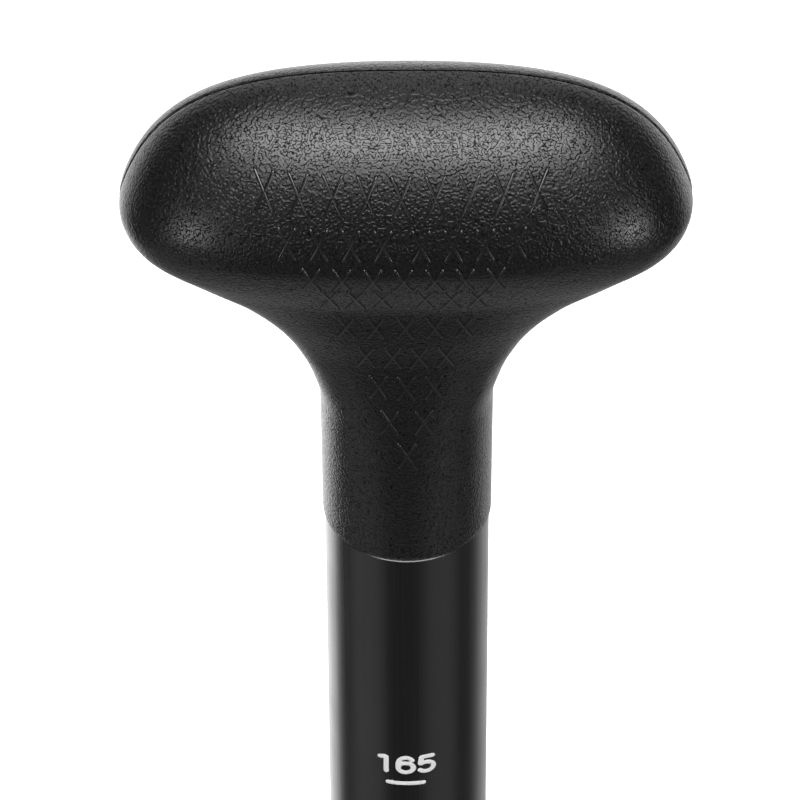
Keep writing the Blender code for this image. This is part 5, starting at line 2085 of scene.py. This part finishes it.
@dataclass
class Studio:
    """Camera, floor and light."""

    focal_pixels: float = 5700.0
    picture: float = 800.0
    look_down: float = 44.0
    roll: float = -0.277
    distance: float = 0.905
    target: tuple[float, float, float] = (0.0, 0.0, RIM_Z - 0.001)
    target_pixel: Point = (407.07, 505.6)
    sensor: float = 36.0
    far: float = 60.0
    floor_z: float = -2.0810
    floor_half: float = 30.0
    floor_glow: float = 0.75
    ambient: float = 0.08
    softboxes: Sequence[Softbox] = (
        Softbox(2.0, 48.9, 46.0, 8.6, 8.0, 9.7),
        Softbox(-43.5, -4.5, 5.0, 4.0, 7.0, 13.0),
        Softbox(49.0, -6.5, 4.5, 4.0, 7.0, 22.0),
        Softbox(180.0, 12.0, 58.0, 70.0, 22.0, 0.90),
        Softbox(-156.0, -42.0, 36.0, 8.0, 8.0, 1.50),
        Softbox(0.0, 90.0, 180.0, 20.0, 12.0, 0.32),
        Softbox(0.0, -80.0, 180.0, 9.0, 10.0, 0.45),
        Softbox(-60.0, -44.0, 26.0, 14.0, 12.0, 0.28),
        Softbox(48.0, -44.0, 24.0, 14.0, 12.0, 0.24),
        Softbox(180.0, -6.0, 45.0, 18.0, 18.0, 1.20))

    def camera(self) -> None:
        """The long-lens camera that looks down at the grip."""
        down = math.radians(self.look_down)
        roll = math.radians(self.roll)
        ahead = Vector((0.0, math.cos(down), -math.sin(down)))
        level_up = Vector((0.0, math.sin(down), math.cos(down)))
        level_right = Vector((1.0, 0.0, 0.0))
        right = math.cos(roll) * level_right + math.sin(roll) * level_up
        up = -math.sin(roll) * level_right + math.cos(roll) * level_up
        per_pixel = self.distance / self.focal_pixels
        middle = self.picture / 2
        place = Vector(self.target) - ((self.target_pixel[0] - middle) * per_pixel * right
                                       - (self.target_pixel[1] - middle) * per_pixel * up
                                       + self.distance * ahead)
        data = bpy.data.cameras.new("camera")
        data.sensor_width = self.sensor
        data.lens = self.focal_pixels * self.sensor / self.picture
        data.clip_end = self.far
        item = linked("camera", data)
        item.matrix_world = (Matrix.Translation(place)
                             @ Matrix((right, up, -ahead)).transposed().to_4x4())
        bpy.context.scene.camera = item

    def floor(self) -> None:
        """A plain pale floor, below the blade's tip when the telescope is fully out."""
        half = self.floor_half
        bm = bmesh.new()
        corners = [(-half, -half), (half, -half), (half, half), (-half, half)]
        bm.faces.new([bm.verts.new((x, y, self.floor_z)) for x, y in corners])
        recipe = Recipe("pale floor")
        recipe.tint(recipe.noise(0.4), (0.88, 0.88, 0.88), (0.90, 0.90, 0.90))
        recipe.surface({"Roughness": 0.9, "Emission Color": (1.0, 1.0, 1.0, 1.0),
                        "Emission Strength": self.floor_glow})
        mesh = bpy.data.meshes.new("floor")
        bm.to_mesh(mesh)
        bm.free()
        mesh.materials.append(recipe.material)
        item = linked("floor", mesh)
        item.visible_glossy = False
        item.visible_diffuse = False
        item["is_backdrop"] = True

    def light(self) -> None:
        """Soft light from all round, stronger where the softboxes stand."""
        world = bpy.data.worlds.new("studio")
        bpy.context.scene.world = world
        world.use_nodes = True
        sky = NodeTree(world.node_tree)
        sky.tree.nodes.clear()

        def window(distance: NodeSocket, half: float, soft: float) -> object:
            """1 within half of the middle, falling softly to 0."""
            return sky.spread(sky.maths("ABSOLUTE", distance), half + soft, half - soft)

        place = sky.add("ShaderNodeTexCoord").outputs["Generated"]
        x, y, z = sky.add("ShaderNodeSeparateXYZ", {0: place}).outputs
        azimuth = sky.maths("DEGREES", sky.maths("ARCTAN2", x, sky.maths("MULTIPLY", y, -1.0)))
        elevation = sky.maths("DEGREES", sky.maths("ARCSINE", z))
        total: object = self.ambient
        for box in self.softboxes:
            patch = window(sky.maths("SUBTRACT", elevation, box.elevation), box.half_high, box.soft)
            if box.half_wide < 180.0:
                turned_away = sky.maths("WRAP", sky.maths("SUBTRACT", azimuth, box.azimuth),
                                        180.0, -180.0)
                patch = sky.maths("MULTIPLY", window(turned_away, box.half_wide, box.soft), patch)
            total = sky.maths("ADD", total, sky.maths("MULTIPLY", patch, box.strength))
        white = (1.0, 1.0, 1.0, 1.0)
        surround = sky.add("ShaderNodeBackground", {"Color": white, "Strength": total})
        backdrop = sky.add("ShaderNodeBackground", {"Color": white, "Strength": 1.0})
        seen = sky.add("ShaderNodeLightPath").outputs["Is Camera Ray"]
        mix = sky.add("ShaderNodeMixShader", {0: seen, 1: surround.outputs[0],
                                              2: backdrop.outputs[0]})
        sky.add("ShaderNodeOutputWorld", {"Surface": mix.outputs[0]})

    def build(self) -> None:
        """Set up the studio."""
        self.camera()
        self.floor()
        self.light()
        bpy.context.scene.view_settings.view_transform = "Standard"


def corners() -> list[list[float]]:
    """The whole object's box as plain lists of numbers."""
    return [[float(value) for value in corner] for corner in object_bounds()]


def main() -> None:
    """Build the sub-assemblies in order."""
    logging.basicConfig(level=logging.INFO, format="%(message)s", stream=sys.stdout)
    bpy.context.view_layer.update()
    rigs = Rigs()
    Studio().build()
    PalmGrip(rigs).build()
    UpperTube(rigs).build()
    Clamp(rigs).build()
    Blade(Shaft(rigs)).build()
    clear_cutters()


if __name__ == "__main__":
    main()
